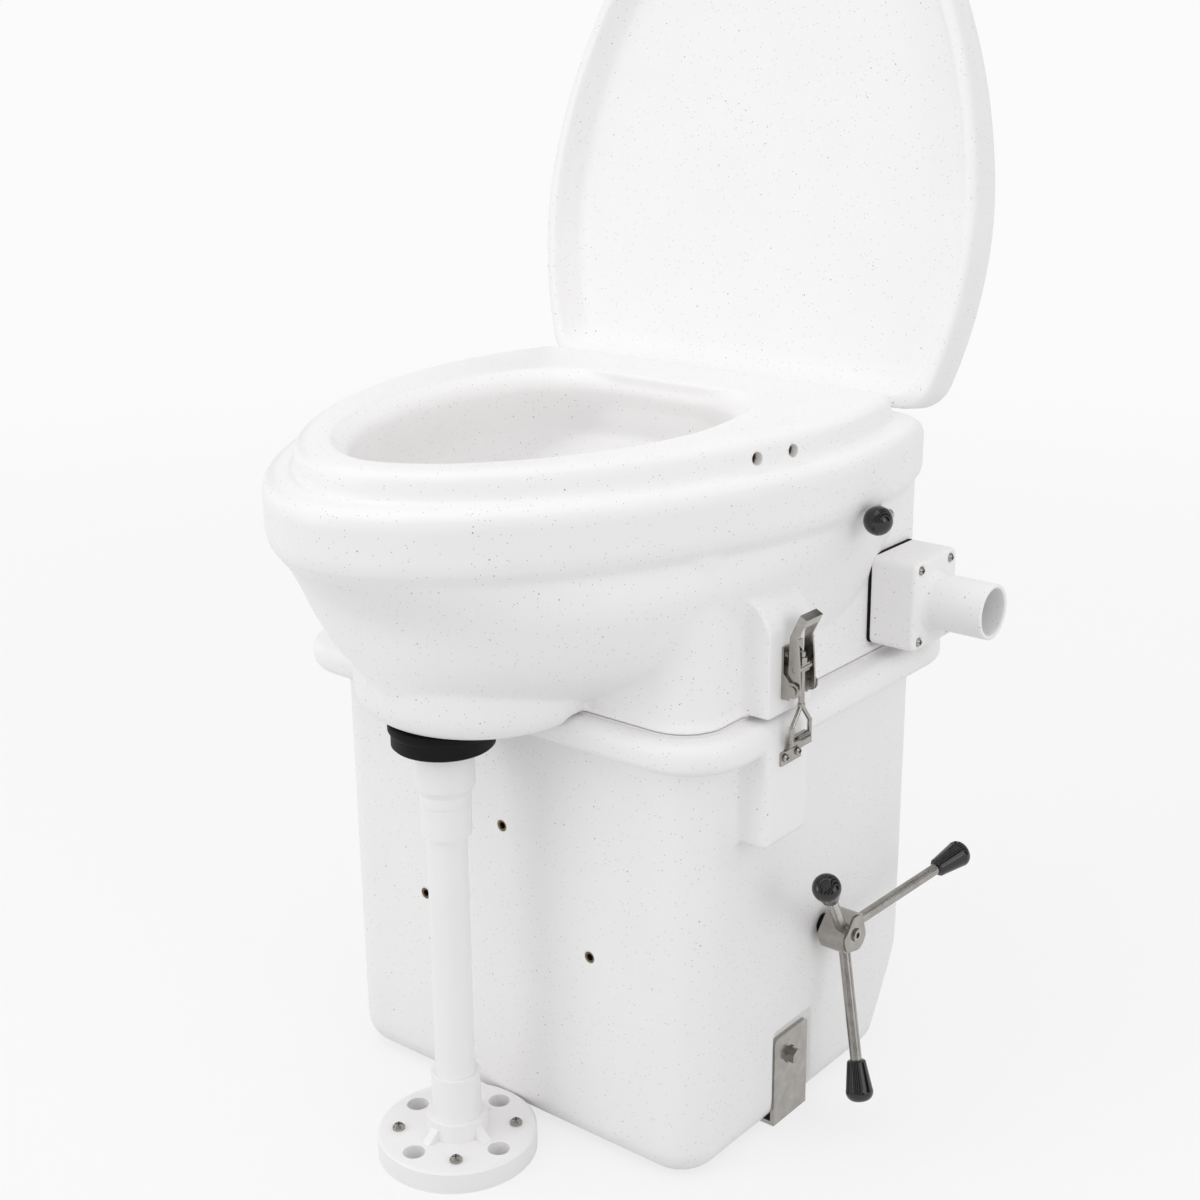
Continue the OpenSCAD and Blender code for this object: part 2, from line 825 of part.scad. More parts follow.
// Three U-shaped paddles on welded collars, a third of a turn apart
paddle_x = [[-131, -54], [-40, 40], [54, 131]];
module agitator_bars() {
    r = agitator_r - bar_d / 2;
    color(steel)
        on_shaft()
            for (i = [0 : 2])
                rotate([120 * i + 40, 0, 0])
                    difference() {
                        union() {
                            for (x = paddle_x[i]) {
                                translate([x - bar_d / 2 - 1, 0, 0])
                                    rod_x(0, bar_d + 2, shaft_d + 7);
                                translate([x, 0, 0])
                                    rod_y(0, r, bar_d);
                                translate([x, r, 0])
                                    sphere(d = bar_d + 0.4);
                            }
                            translate([0, r, 0])
                                rod_x(paddle_x[i][0], paddle_x[i][1] - paddle_x[i][0], bar_d);
                        }
                        rod_x(-side_x, 2 * side_x, shaft_d + 0.1);
                    }
}

module shaft_bushes() {
    color(pvc)
        on_shaft()
            both_sides() {
                tube_x(side_x - wall - 2.7, 2.5, bush_d + 7, shaft_d + 0.1);
                tube_x(side_x - wall - 0.2 - eps, wall - 0.1, bush_d, shaft_d + 0.1);
            }
}

module shaft_seals() {
    color(rubber)
        on_shaft()
            both_sides()
                tube_x(side_x + 0.1, seal_t - 0.1, bush_d + 1.5, shaft_d + 0.2);
}

module shaft_end_nut() {
    color(steel)
        on_shaft()
            translate([-side_x - seal_t - 0.4 - nut_h, 0, 0])
                rotate([0, 90, 0])
                    difference() {
                        cylinder(h = nut_h, d = 1.7 * shaft_d + 2, $fn = 6);
                        translate([0, 0, -1])
                            cylinder(h = nut_h + 2, d = shaft_d + 0.05);
                    }
}

// ---- crank ---------------------------------------------------------------------------------

// The children along +Y, which becomes the axis of spoke i
module at_spoke(i) {
    translate([hub_x, shaft_y, shaft_z])
        rotate([crank_phase - 120 * i, 0, 0])
            rotate([0, 0, -spoke_lean])
                children();
}

hub_r = 15;
flat_r = 12.5;
socket_y = 6.5;
module hub_section(r, flat) {
    intersection() {
        circle(r);
        rotate(crank_phase + 180)
            circle(2 * flat, $fn = 3);
    }
}

module crank_hub() {
    color(steel)
        difference() {
            translate([hub_x - hub_l / 2, shaft_y, shaft_z])
                rotate([90, 0, 90])
                    union() {
                        translate([0, 0, 1.2])
                            linear_extrude(hub_l - 2.4)
                                hub_section(hub_r, flat_r);
                        linear_extrude(hub_l)
                            hub_section(hub_r - 1.2, flat_r - 1.2);
                    }
            on_shaft() {
                rod_x(hub_x - hub_l / 2 - 1, shaft_right - hub_x + hub_l / 2 + 1, shaft_d + 0.05);
                rod_x(hub_x, hub_l, bolt_d + 0.1);
                rod_x(hub_x + hub_l / 2 - 3, 4, 9.5);
            }
            for (i = [0 : 2])
                at_spoke(i)
                    rod_y(socket_y, 20, spoke_d + 0.05);
        }
}

module hub_bolt() {
    color(steel)
        translate([hub_x + hub_l / 2 - 3, shaft_y, shaft_z])
            rotate([0, 90, 0])
                difference() {
                    union() {
                        cylinder(h = 4.5, d = 9);
                        translate([0, 0, shaft_right - 10 - hub_x - hub_l / 2 + 3])
                            cylinder(h = 10 + hub_x + hub_l / 2 - 3 - shaft_right + eps, d = bolt_d);
                    }
                    translate([0, 0, 2])
                        cylinder(h = 4, d = 4.6, $fn = 6);
                }
}

grip_depth = 14;
module spoke(i) {
    color(steel)
        at_spoke(i)
            rod_y(socket_y, spoke_l + grip_depth - 1 - socket_y, spoke_d);
}

module spoke_upper() {
    spoke(0);
}

module spoke_rear() {
    spoke(1);
}

module spoke_lower() {
    spoke(2);
}

module knob(i) {
    r = knob_d / 2;
    tip = 6.5;
    color(phenolic)
        at_spoke(i)
            translate([0, spoke_l, 0])
                rotate([-90, 0, 0])
                    difference() {
                        rotate_extrude()
                            intersection() {
                                union() {
                                    polygon([[0, 0], [r - 4, 0], [r - 3, 1], [r, knob_l - tip],
                                        [r - tip, knob_l - tip], [r - tip, knob_l], [0, knob_l]]);
                                    translate([r - tip, knob_l - tip])
                                        circle(tip);
                                }
                                square([2 * r, knob_l + 1]);
                            }
                        translate([0, 0, -1])
                            cylinder(h = grip_depth + 1, d = spoke_d + 0.05);
                    }
}

module knob_upper() {
    knob(0);
}

module knob_rear() {
    knob(1);
}

module knob_lower() {
    knob(2);
}

// ---- vent ----------------------------------------------------------------------------------

// The children with X and Y turned into Y and Z, standing along +X from the vent axis
module on_vent(x0) {
    translate([x0, vent_y, vent_z])
        rotate([90, 0, 90])
            children();
}

vent_screw_pos = [vent_w / 2 - 8.5, vent_h / 2 - 6];
module vent_corners() {
    for (y = [-1, 1])
        for (z = [-1, 1])
            translate([y * vent_screw_pos[0], z * vent_screw_pos[1]])
                children();
}

module vent_screw_places() {
    translate([0, vent_y, vent_z])
        for (y = [-1, 1])
            for (z = [-1, 1])
                translate([0, y * vent_screw_pos[0], z * vent_screw_pos[1]])
                    children();
}

module vent_plate(h, inset = 0) {
    linear_extrude(h)
        round_rect(inset - vent_w / 2, vent_w / 2 - inset, inset - vent_h / 2, vent_h / 2 - inset, 5 - inset);
}

vent_screw_d = 3;
module vent_housing() {
    deep = vent_out - 4;
    color(shell_white)
        on_vent(head_x + gasket_t)
            difference() {
                union() {
                    vent_plate(vent_out - 2);
                    translate([0, 0, vent_out - 2 - eps])
                        vent_plate(1.2, 0.6);
                    translate([0, 0, vent_out - 0.8 - 2 * eps])
                        vent_plate(0.8 + 2 * eps, 2);
                    translate([0, 0, vent_out - eps])
                        cylinder(h = 5, d1 = stub_d + 5, d2 = stub_d);
                    translate([0, 0, vent_out - 1])
                        cylinder(h = stub_l + 1, d = stub_d);
                }
                translate([-fan_s / 2 - 0.2, -fan_s / 2 - 0.2, -1])
                    cube([fan_s + 0.4, fan_s + 0.4, deep - 3]);
                translate([0, 0, deep - 5])
                    cylinder(h = 5, d = vent_bore);
                cylinder(h = vent_out + stub_l + 1, d = stub_bore);
                translate([0, 0, -1])
                    vent_corners()
                        cylinder(h = vent_out + 2, d = vent_screw_d + 0.2);
                translate([0, 0, vent_out - 1.5])
                    vent_corners()
                        cylinder(h = 3, d = 7);
            }
}

module vent_gasket() {
    color(rubber)
        on_vent(head_x)
            difference() {
                vent_plate(gasket_t);
                translate([0, 0, -1])
                    cylinder(h = gasket_t + 2, d = vent_bore);
                translate([0, 0, -1])
                    vent_corners()
                        cylinder(h = gasket_t + 2, d = vent_screw_d + 0.2);
            }
}

module vent_screws() {
    color(steel)
        on_vent(head_x + gasket_t + vent_out - 1.5)
            vent_corners()
                pan_screw(6.2, 2.6, vent_screw_d, vent_out + gasket_t + 2.5);
}

fan_x = head_x + gasket_t + 3;
module fan_frame() {
    color("#26272a")
        on_vent(fan_x)
            difference() {
                union() {
                    difference() {
                        linear_extrude(fan_t)
                            round_rect(-fan_s / 2, fan_s / 2, -fan_s / 2, fan_s / 2, 2.5);
                        translate([0, 0, -1])
                            cylinder(h = fan_t + 2, d = fan_s - 3);
                    }
                    cylinder(h = 2, d = 16);
                    for (a = [30, 150, 270])
                        rotate(a)
                            translate([6, -1, 0])
                                cube([fan_s / 2 - 7, 2, 2]);
                }
                for (y = [-1, 1])
                    for (z = [-1, 1])
                        translate([y * (fan_s / 2 - 3.6), z * (fan_s / 2 - 3.6), -1])
                            cylinder(h = fan_t + 2, d = 3.2);
            }
}

blade_n = 7;
module fan_rotor() {
    color("#303236")
        on_vent(fan_x + 2.6)
            union() {
                cylinder(h = fan_t - 3.4, d = 15);
                for (i = [0 : blade_n - 1])
                    rotate(i * 360 / blade_n)
                        translate([fan_s / 4 + 2, 0, (fan_t - 3.4) / 2])
                            rotate([38, 0, 0])
                                cube([fan_s / 2 - 8.5, 0.9, 7.5], center = true);
            }
}

// A round mesh, one on each side of the air path
screen_d = vent_bore - 0.6;
module screen() {
    union() {
        difference() {
            cylinder(h = 1, d = screen_d);
            translate([0, 0, -1])
                cylinder(h = 3, d = screen_d - 3);
        }
        for (a = [0, 90])
            rotate(a)
                for (p = [-12 : 4 : 12])
                    translate([-sqrt(pow(screen_d / 2 - 1, 2) - p * p), p - 0.3, 0.2])
                        cube([2 * sqrt(pow(screen_d / 2 - 1, 2) - p * p), 0.6, 0.6]);
    }
}

module insect_screens() {
    color("silver") {
        on_vent(head_x + gasket_t + vent_out - 5.2)
            screen();
        on_vent(-head_x - gasket_t - 2.2)
            screen();
    }
}

louvre_n = 5;
module intake_cover() {
    color(shell_white)
        mirror([1, 0, 0])
            on_vent(head_x + gasket_t)
                difference() {
                    union() {
                        vent_plate(intake_out - 1);
                        translate([0, 0, intake_out - 1 - eps])
                            vent_plate(1 + eps, 1);
                    }
                    translate([0, 0, -1])
                        cylinder(h = intake_out - 2, d = vent_bore);
                    for (i = [0 : louvre_n - 1])
                        translate([-13, (i - (louvre_n - 1) / 2) * 6 - 1.6, 0])
                            cube([26, 3.2, intake_out + 1]);
                    translate([0, 0, -1])
                        vent_corners()
                            cylinder(h = intake_out + 2, d = vent_screw_d + 0.2);
                    translate([0, 0, intake_out - 1.5])
                        vent_corners()
                            cylinder(h = 3, d = 7);
                }
}

module intake_gasket() {
    mirror([1, 0, 0])
        vent_gasket();
}

module intake_screws() {
    color(steel)
        mirror([1, 0, 0])
            on_vent(head_x + gasket_t + intake_out - 1.5)
                vent_corners()
                    pan_screw(6.2, 2.6, vent_screw_d, intake_out + gasket_t + 2.5);
}

// ---- latches -------------------------------------------------------------------------------

catch_screw_d = 3;
catch_screw_l = 7;
catch_screw_z = bail_bar_z - 13;
module catch_screw_places() {
    for (y = [-7, 7])
        translate([0, latch_y + y, catch_screw_z])
            children();
}

module latch_screw_places() {
    for (y = [-5, 5])
        translate([0, latch_y + y, rivet_z + 21])
            children();
}

// The children drawn as [x, z] from the rivet, and extruded from y0 by w about the latch middle
module latch_slab(y0, w) {
    translate([rivet_x, latch_y + y0 + w, rivet_z])
        rotate([90, 0, 0])
            linear_extrude(w)
                children();
}

ear_in = lever_w / 2 + 0.4;
rivet_d = 4;
module latch_base() {
    reach = rivet_x - boss_x;
    color(steel)
        difference() {
            union() {
                latch_slab(-ear_in - sheet, 2 * ear_in + 2 * sheet)
                    translate([-reach, -7])
                        square([sheet, 34]);
                for (y0 = [-ear_in - sheet, ear_in])
                    latch_slab(y0, sheet)
                        union() {
                            polygon([[-reach, -7], [-2, -7], [-2, 5], [-reach, 12]]);
                            circle(5);
                            translate([-2, -5])
                                square([2, 10]);
                        }
            }
            latch_slab(-20, 40)
                circle(d = rivet_d + 0.05);
            latch_screw_places()
                rod_x(boss_x - 1, 4, catch_screw_d + 0.2);
        }
}

module latch_lever() {
    color(steel)
        difference() {
            union() {
                for (y0 = [-lever_w / 2, lever_w / 2 - sheet])
                    latch_slab(y0, sheet)
                        union() {
                            circle(4.5);
                            polygon([[-4.5, 0], [4.5, 0], [3.5, 19], [2, 33], [8.5, 46.5], [3.5, 49],
                                [-3.5, 34], [-4, 17]]);
                        }
                latch_slab(-lever_w / 2, lever_w)
                    polygon([[6, 41.1], [8.5, 46.5], [3.5, 49], [2.8, 47.5], [6.4, 45.7], [4.7, 41.8]]);
            }
            latch_slab(-20, 40)
                circle(d = rivet_d + 0.2);
            latch_slab(-20, 40)
                translate([0, latch_throw])
                    circle(d = wire_d + 0.2);
        }
}

apex_drop = 25;
bar_half = 10;
bar_leg = 9;
hook_w = 12;
module latch_bail() {
    q = [rivet_x, latch_y, bail_pin_z];
    apex = q - [0, 0, apex_drop];
    color(steel)
        union() {
            translate(q) {
                rod_y(-lever_w / 2 + 0.2, lever_w - 0.4, wire_d);
                rod_y(-lever_w / 2 + sheet + 0.4, lever_w - 2 * sheet - 0.8, 6);
                translate([-2.6, -4.5, -2.6])
                    cube([5.2, 9, 5.2]);
                translate([0, 0, 2.5])
                    cylinder(h = 4, d = 7, $fn = 6);
                translate([0, 0, -apex_drop])
                    cylinder(h = apex_drop + 10, d = 4);
            }
            translate(apex)
                sphere(d = 5);
            for (y = [-bar_half, bar_half]) {
                bar(apex, [rivet_x, latch_y + y, bail_bar_z + bar_leg], wire_d);
                translate([rivet_x, latch_y + y, bail_bar_z])
                    cylinder(h = bar_leg, d = wire_d);
                for (z = [0, bar_leg])
                    translate([rivet_x, latch_y + y, bail_bar_z + z])
                        sphere(d = wire_d + 0.3);
            }
            translate([rivet_x, latch_y, bail_bar_z])
                rod_y(-bar_half, 2 * bar_half, wire_d);
        }
}

hook_r = 3;
module latch_catch() {
    reach = rivet_x - boss_x;
    bar_at = bail_bar_z - rivet_z;
    color(steel)
        difference() {
            union() {
                latch_slab(-11, 22)
                    translate([-reach, bar_at - 18])
                        square([sheet, 9]);
                latch_slab(-hook_w / 2, hook_w)
                    translate([0, bar_at])
                        union() {
                            intersection() {
                                translate([0, wire_d / 2 + 0.3 - hook_r])
                                    difference() {
                                        circle(hook_r + sheet);
                                        circle(hook_r);
                                    }
                                translate([-10, wire_d / 2 + 0.3 - hook_r - eps])
                                    square([20, 10]);
                            }
                            translate([hook_r, wire_d / 2 - 2.2 - hook_r])
                                square([sheet, 2.5 + eps]);
                            polygon([[-reach, -10], [sheet - reach, -10], [sheet - reach, -9.5], [-hook_r, -6],
                                [-hook_r, wire_d / 2 + 0.3 - hook_r], [-hook_r - sheet, wire_d / 2 + 0.3 - hook_r],
                                [-hook_r - sheet, -5.2], [-reach, -8.5]]);
                        }
            }
            catch_screw_places()
                rod_x(boss_x - 1, 4, catch_screw_d + 0.2);
        }
}

module latch_base_right() {
    latch_base();
}

module latch_base_left() {
    mirror([1, 0, 0])
        latch_base();
}

module latch_lever_right() {
    latch_lever();
}

module latch_lever_left() {
    mirror([1, 0, 0])
        latch_lever();
}

module latch_bail_right() {
    latch_bail();
}

module latch_bail_left() {
    mirror([1, 0, 0])
        latch_bail();
}

module latch_catch_right() {
    latch_catch();
}

module latch_catch_left() {
    mirror([1, 0, 0])
        latch_catch();
}

module latch_rivets() {
    inner = lever_w / 2 - sheet;
    outer = ear_in + sheet;
    color(steel)
        both_sides()
            translate([rivet_x, latch_y, rivet_z])
                for (a = [0, 180])
                    rotate(a) {
                        rod_y(inner - 0.2, outer - inner + 0.2 + eps, rivet_d);
                        rod_y(inner - 1.2, 0.9, rivet_d + 1.6);
                        rod_y(outer, 1.2, rivet_d + 2.2);
                    }
}

module latch_screws() {
    color(steel)
        both_sides() {
            catch_screw_places()
                translate([boss_x + sheet, 0, 0])
                    rotate([0, 90, 0])
                        pan_screw(5.4, 2, catch_screw_d, catch_screw_l + sheet - 0.2);
            latch_screw_places()
                translate([boss_x + sheet, 0, 0])
                    rotate([0, 90, 0])
                        pan_screw(5.4, 2, catch_screw_d, catch_screw_l + sheet - 0.2);
        }
}

// ---- foot brackets -------------------------------------------------------------------------

foot_hole_d = 6.5;
module foot_bracket() {
    x1 = base_w / 2 - pocket_d + 0.1 + bracket_t;
    color(steel)
        difference() {
            union() {
                translate([x1 - bracket_t, bracket_y - bracket_w / 2, 0])
                    cube([bracket_t, bracket_w, bracket_h - 4]);
                translate([x1 - bracket_t, bracket_y - bracket_w / 2 + 4, 0])
                    cube([bracket_t, bracket_w - 8, bracket_h]);
                for (y = [4 - bracket_w / 2, bracket_w / 2 - 4])
                    translate([0, bracket_y + y, bracket_h - 4])
                        rod_x(x1 - bracket_t, bracket_t, 8);
                translate([x1 - bracket_t - bracket_foot, bracket_y - bracket_w / 2, 0])
                    cube([bracket_foot + bracket_t, bracket_w, bracket_t]);
            }
            translate([0, bracket_y, bracket_bolt_z])
                rod_x(x1 - bracket_t - 1, bracket_t + 2, m6 + 0.6);
            for (y = [-11, 11])
                translate([x1 - bracket_t - 17, bracket_y + y, -1])
                    cylinder(h = bracket_t + 2, d = foot_hole_d);
        }
}

module foot_bracket_right() {
    foot_bracket();
}

module foot_bracket_left() {
    mirror([1, 0, 0])
        foot_bracket();
}

// A hex bolt with washer outside, and a washer and nut inside, on each side
module bracket_bolts() {
    x1 = base_w / 2 - pocket_d + 0.1 + bracket_t;
    x0 = base_w / 2 - wall + 0.1;
    color(steel)
        both_sides()
            translate([0, bracket_y, bracket_bolt_z])
                union() {
                    rod_x(x1, 1.4, 13);
                    translate([x1 + 1.4 - eps, 0, 0])
                        rotate([0, 90, 0])
                            cylinder(h = 4, d = 11.5, $fn = 6);
                    rod_x(x0 - 9, x1 - x0 + 10, m6);
                    rod_x(x0 - 1.4 - draft / 4, 1.4, 13);
                    translate([x0 - 6.2 - draft / 4, 0, 0])
                        rotate([0, 90, 0])
                            cylinder(h = 5, d = 11.5, $fn = 6);
                }
}

// ---- drain ---------------------------------------------------------------------------------

module on_drain(z) {
    translate([0, -drain_y, z])
        children();
}

module pipe_at(z, h, d, bore) {
    on_drain(z)
        difference() {
            cylinder(h = h, d = d);
            translate([0, 0, -1])
                cylinder(h = h + 2, d = bore);
        }
}

spigot_z = sump_z - 8;
reducer_z = spigot_z - 49;
pipe_top = reducer_z + 19;
coupling_h = 22;
coupling_d = pipe_d + 6.3;
bushing_h = 42;
hub_top = 28;
pipe_bore = pipe_d - 5.6;
module drain_boot() {
    color(rubber)
        on_drain(sump_z - boot_h)
            difference() {
                union() {
                    cylinder(h = boot_h - 0.1, d = boot_d - 3.2);
                    translate([0, 0, boot_h - 6.6])
                        cylinder(h = 6.5, d = boot_d);
                }
                translate([0, 0, -1])
                    cylinder(h = boot_h + 2, d = spigot_d + 0.1);
            }
}

module reducer_bush() {
    color(pvc)
        on_drain(reducer_z)
            difference() {
                union() {
                    cylinder(h = 7.5, d = coupling_d + 0.8);
                    translate([0, 0, 7.5])
                        cylinder(h = 5, d1 = coupling_d + 0.8, d2 = spigot_d);
                    translate([0, 0, 12.5 - eps])
                        cylinder(h = spigot_z - 0.3 - reducer_z - 12.5, d = spigot_d);
                }
                translate([0, 0, -1])
                    cylinder(h = pipe_top - reducer_z + 1, d = pipe_d + 0.1);
                cylinder(h = 50, d = pipe_bore);
            }
}

module upper_coupling() {
    color(pvc)
        pipe_at(reducer_z - coupling_h, coupling_h - 0.3, coupling_d, pipe_d + 0.1);
}

pipe_z = 6;
module drain_pipe() {
    color(pvc)
        pipe_at(pipe_z, pipe_top - pipe_z, pipe_d, pipe_bore);
}

bushing_z = 17;
module lower_bushing() {
    color(pvc)
        pipe_at(bushing_z, bushing_h, coupling_d + 0.2, pipe_d + 0.1);
}

screw_turn = 41.8;
flange_screw_d = 4;
module flange_screw_places() {
    for (i = [0 : 3])
        rotate(screw_turn + 90 * i)
            translate([flange_pcd / 2, 0, 0])
                children();
}

rib_h = 9;
module floor_flange() {
    hub_d = coupling_d + 8.4;
    color(pvc)
        on_drain(0)
            difference() {
                union() {
                    cylinder(h = flange_t - 1.5, d = flange_d);
                    translate([0, 0, flange_t - 1.5 - eps])
                        cylinder(h = 1.5, d1 = flange_d, d2 = flange_d - 3);
                    cylinder(h = hub_top, d = hub_d);
                    for (i = [0 : 3])
                        rotate(screw_turn + 90 * i + 45)
                            translate([hub_d / 2 - 2, 3, flange_t - 1])
                                rotate([90, 0, 0])
                                    linear_extrude(6)
                                        polygon([[0, 0], [12, 0], [2, rib_h], [0, rib_h]]);
                }
                translate([0, 0, pipe_z])
                    cylinder(h = hub_top, d = pipe_d + 0.1);
                translate([0, 0, bushing_z])
                    cylinder(h = hub_top, d = coupling_d + 0.3);
                translate([0, 0, -1])
                    cylinder(h = hub_top, d = pipe_bore);
                translate([0, 0, -1])
                    flange_screw_places()
                        cylinder(h = flange_t + 2, d = flange_screw_d + 0.4);
                rotate(45)
                    translate([0, 0, -1])
                        flange_screw_places()
                            cylinder(h = flange_t + 2, d = 15);
            }
}

module flange_screws() {
    color(steel)
        on_drain(flange_t)
            flange_screw_places()
                pan_screw(8.5, 3.4, flange_screw_d, flange_t - 0.5);
}

base_tub();
head_bowl();
lid();
lid_hinge_pins();
rim_gasket();
trap_door();
trap_shaft();
trap_knob();
trap_bushes();
trap_screws();
agitator_shaft();
agitator_bars();
shaft_bushes();
shaft_seals();
shaft_end_nut();
crank_hub();
hub_bolt();
spoke_upper();
spoke_rear();
spoke_lower();
knob_upper();
knob_rear();
knob_lower();
vent_housing();
vent_gasket();
vent_screws();
fan_frame();
fan_rotor();
insect_screens();
intake_cover();
intake_gasket();
intake_screws();
latch_base_right();
latch_base_left();
latch_lever_right();
latch_lever_left();
latch_bail_right();
latch_bail_left();
latch_catch_right();
latch_catch_left();
latch_rivets();
latch_screws();
foot_bracket_right();
foot_bracket_left();
bracket_bolts();
front_inserts();
seat_inserts();
drain_boot();
reducer_bush();
upper_coupling();
drain_pipe();
lower_bushing();
floor_flange();
flange_screws();
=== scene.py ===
import math

import bmesh
import bpy
from mathutils import Matrix, Vector


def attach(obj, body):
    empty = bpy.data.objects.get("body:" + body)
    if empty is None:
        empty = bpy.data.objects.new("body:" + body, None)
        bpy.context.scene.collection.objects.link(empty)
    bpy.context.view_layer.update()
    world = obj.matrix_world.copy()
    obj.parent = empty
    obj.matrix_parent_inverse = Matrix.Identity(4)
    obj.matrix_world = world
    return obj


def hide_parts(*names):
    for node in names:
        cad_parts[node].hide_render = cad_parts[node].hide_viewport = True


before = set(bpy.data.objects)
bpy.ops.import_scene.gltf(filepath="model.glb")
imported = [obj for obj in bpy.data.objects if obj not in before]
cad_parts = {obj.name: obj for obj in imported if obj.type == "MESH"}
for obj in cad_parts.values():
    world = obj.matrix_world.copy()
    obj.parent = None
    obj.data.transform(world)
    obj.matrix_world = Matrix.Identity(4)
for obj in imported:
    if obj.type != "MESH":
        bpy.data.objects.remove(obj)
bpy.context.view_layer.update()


# ---------------------------------------------------------------- camera
# A long lens a little above the seat, turned 38 degrees to the crank side of the front.
# The shift and the quarter degree of roll only frame the toilet as the photograph does.
camera = bpy.data.objects.new("camera", bpy.data.cameras.new("camera"))
bpy.context.scene.collection.objects.link(camera)
camera.data.sensor_width = 36
camera.data.lens = 56.327
camera.data.shift_x = -0.02903
camera.data.shift_y = -0.03224
camera.matrix_world = (
    Matrix.Translation((0.7804, -0.9607, 0.7566))
    @ Matrix.Rotation(math.radians(38.19), 4, "Z")
    @ Matrix.Rotation(math.radians(72.91), 4, "X")
    @ Matrix.Rotation(math.radians(-0.2346), 4, "Z")
)
bpy.context.scene.camera = camera
bpy.context.scene.view_settings.view_transform = "Standard"


# ---------------------------------------------------------------- studio
# A white sweep in flat light: a bright room, a soft panel overhead, a stronger one at the front
# left and a weaker one at the right. The toilet stands on a plain pale floor.
def linear(hex_colour):
    """A six-digit sRGB hex colour as linear RGBA."""
    out = []
    for i in (0, 2, 4):
        c = int(hex_colour[i:i + 2], 16) / 255
        out.append(c / 12.92 if c <= 0.04045 else ((c + 0.055) / 1.055) ** 2.4)
    return (*out, 1.0)


def node(tree, kind, settings=None, links=None, **sockets):
    """Adds a node: its attributes, the sources of its linked inputs, and its input values.

    A value's keyword is the input's name with _ for a space, or i and the input's number.
    """
    n = tree.nodes.new(kind)
    for key, value in (settings or {}).items():
        setattr(n, key, value)
    for key, value in sockets.items():
        socket = int(key[1:]) if key[0] == "i" and key[1:].isdigit() else key.replace("_", " ")
        n.inputs[socket].default_value = value
    for key, source in (links or {}).items():
        tree.links.new(source, n.inputs[key])
    return n


paper_white = (0.965, 0.965, 0.965, 1)
world = bpy.data.worlds.new("studio")
bpy.context.scene.world = world
world.use_nodes = True
sky = world.node_tree
sky.nodes.clear()
ray = node(sky, "ShaderNodeLightPath")
seen = node(sky, "ShaderNodeMath", {"operation": "MAXIMUM"},
            {0: ray.outputs["Is Camera Ray"], 1: ray.outputs["Is Transmission Ray"]})
ambient = node(sky, "ShaderNodeBackground", Color=linear("f8f8f8"), Strength=0.89)
# Polished metal mirrors a room of white panels with dark gaps between them.
way = node(sky, "ShaderNodeTexCoord")
panels = node(sky, "ShaderNodeTexWave", {"wave_profile": "SIN"}, {"Vector": way.outputs["Generated"]},
              Scale=1.1, Distortion=1.5)
gaps = node(sky, "ShaderNodeMapRange", {"interpolation_type": "SMOOTHSTEP"}, {"Value": panels.outputs["Fac"]},
            From_Min=0.35, From_Max=0.8, To_Min=0.06, To_Max=1.1)
room = node(sky, "ShaderNodeBackground", None, {"Strength": gaps.outputs[0]}, Color=linear("f8f8f8"))
lit = node(sky, "ShaderNodeMixShader", None,
           {0: ray.outputs["Is Glossy Ray"], 1: ambient.outputs[0], 2: room.outputs[0]})
white = node(sky, "ShaderNodeBackground", Color=paper_white, Strength=1.0)
both = node(sky, "ShaderNodeMixShader", None, {0: seen.outputs[0], 1: lit.outputs[0], 2: white.outputs[0]})
node(sky, "ShaderNodeOutputWorld", None, {"Surface": both.outputs[0]})

# The floor is pale grey paint that keeps the toilet's shadow. The camera sees it most of the way
# to white, and quite white three metres away, as a sweep of paper looks.
floor_paint = bpy.data.materials.new("matt_pale_floor")
floor_paint.use_nodes = True
t = floor_paint.node_tree
t.nodes.clear()
ray = node(t, "ShaderNodeLightPath")
seen = node(t, "ShaderNodeMath", {"operation": "MAXIMUM"},
            {0: ray.outputs["Is Camera Ray"], 1: ray.outputs["Is Glossy Ray"]})
at = node(t, "ShaderNodeTexCoord")
reach = node(t, "ShaderNodeVectorMath", {"operation": "LENGTH"}, {0: at.outputs["Object"]})
away = node(t, "ShaderNodeMapRange", {"interpolation_type": "SMOOTHSTEP"}, {"Value": reach.outputs["Value"]},
            From_Min=0.6, From_Max=3.0, To_Min=0.74, To_Max=1.0)
lift = node(t, "ShaderNodeMath", {"operation": "MULTIPLY"}, {0: seen.outputs[0], 1: away.outputs[0]})
shade = node(t, "ShaderNodeMix", {"data_type": "RGBA"}, {0: seen.outputs[0]},
             i6=linear("d6d6d6"), i7=linear("f0f0f0"))
paint = node(t, "ShaderNodeBsdfDiffuse", None, {"Color": shade.outputs[2]})
far = node(t, "ShaderNodeEmission", Color=paper_white)
total = node(t, "ShaderNodeMixShader", None, {0: lift.outputs[0], 1: paint.outputs[0], 2: far.outputs[0]})
node(t, "ShaderNodeOutputMaterial", None, {"Surface": total.outputs[0]})

floor_mesh = bpy.data.meshes.new("floor")
reach_m = 40
floor_mesh.from_pydata([(-reach_m, -reach_m, 0), (reach_m, -reach_m, 0), (reach_m, reach_m, 0),
                        (-reach_m, reach_m, 0)], [], [(0, 1, 2, 3)])
floor = bpy.data.objects.new("floor", floor_mesh)
floor_mesh.materials.append(floor_paint)
bpy.context.scene.collection.objects.link(floor)


def lamp(name, place, size, watts, aim=(0, 0, 0.4)):
    """A square studio panel that faces the toilet."""
    data = bpy.data.lights.new(name, "AREA")
    data.energy = watts
    data.size = size
    obj = bpy.data.objects.new(name, data)
    obj.location = place
    obj.rotation_euler = (Vector(aim) - Vector(place)).to_track_quat("-Z", "Y").to_euler()
    bpy.context.scene.collection.objects.link(obj)


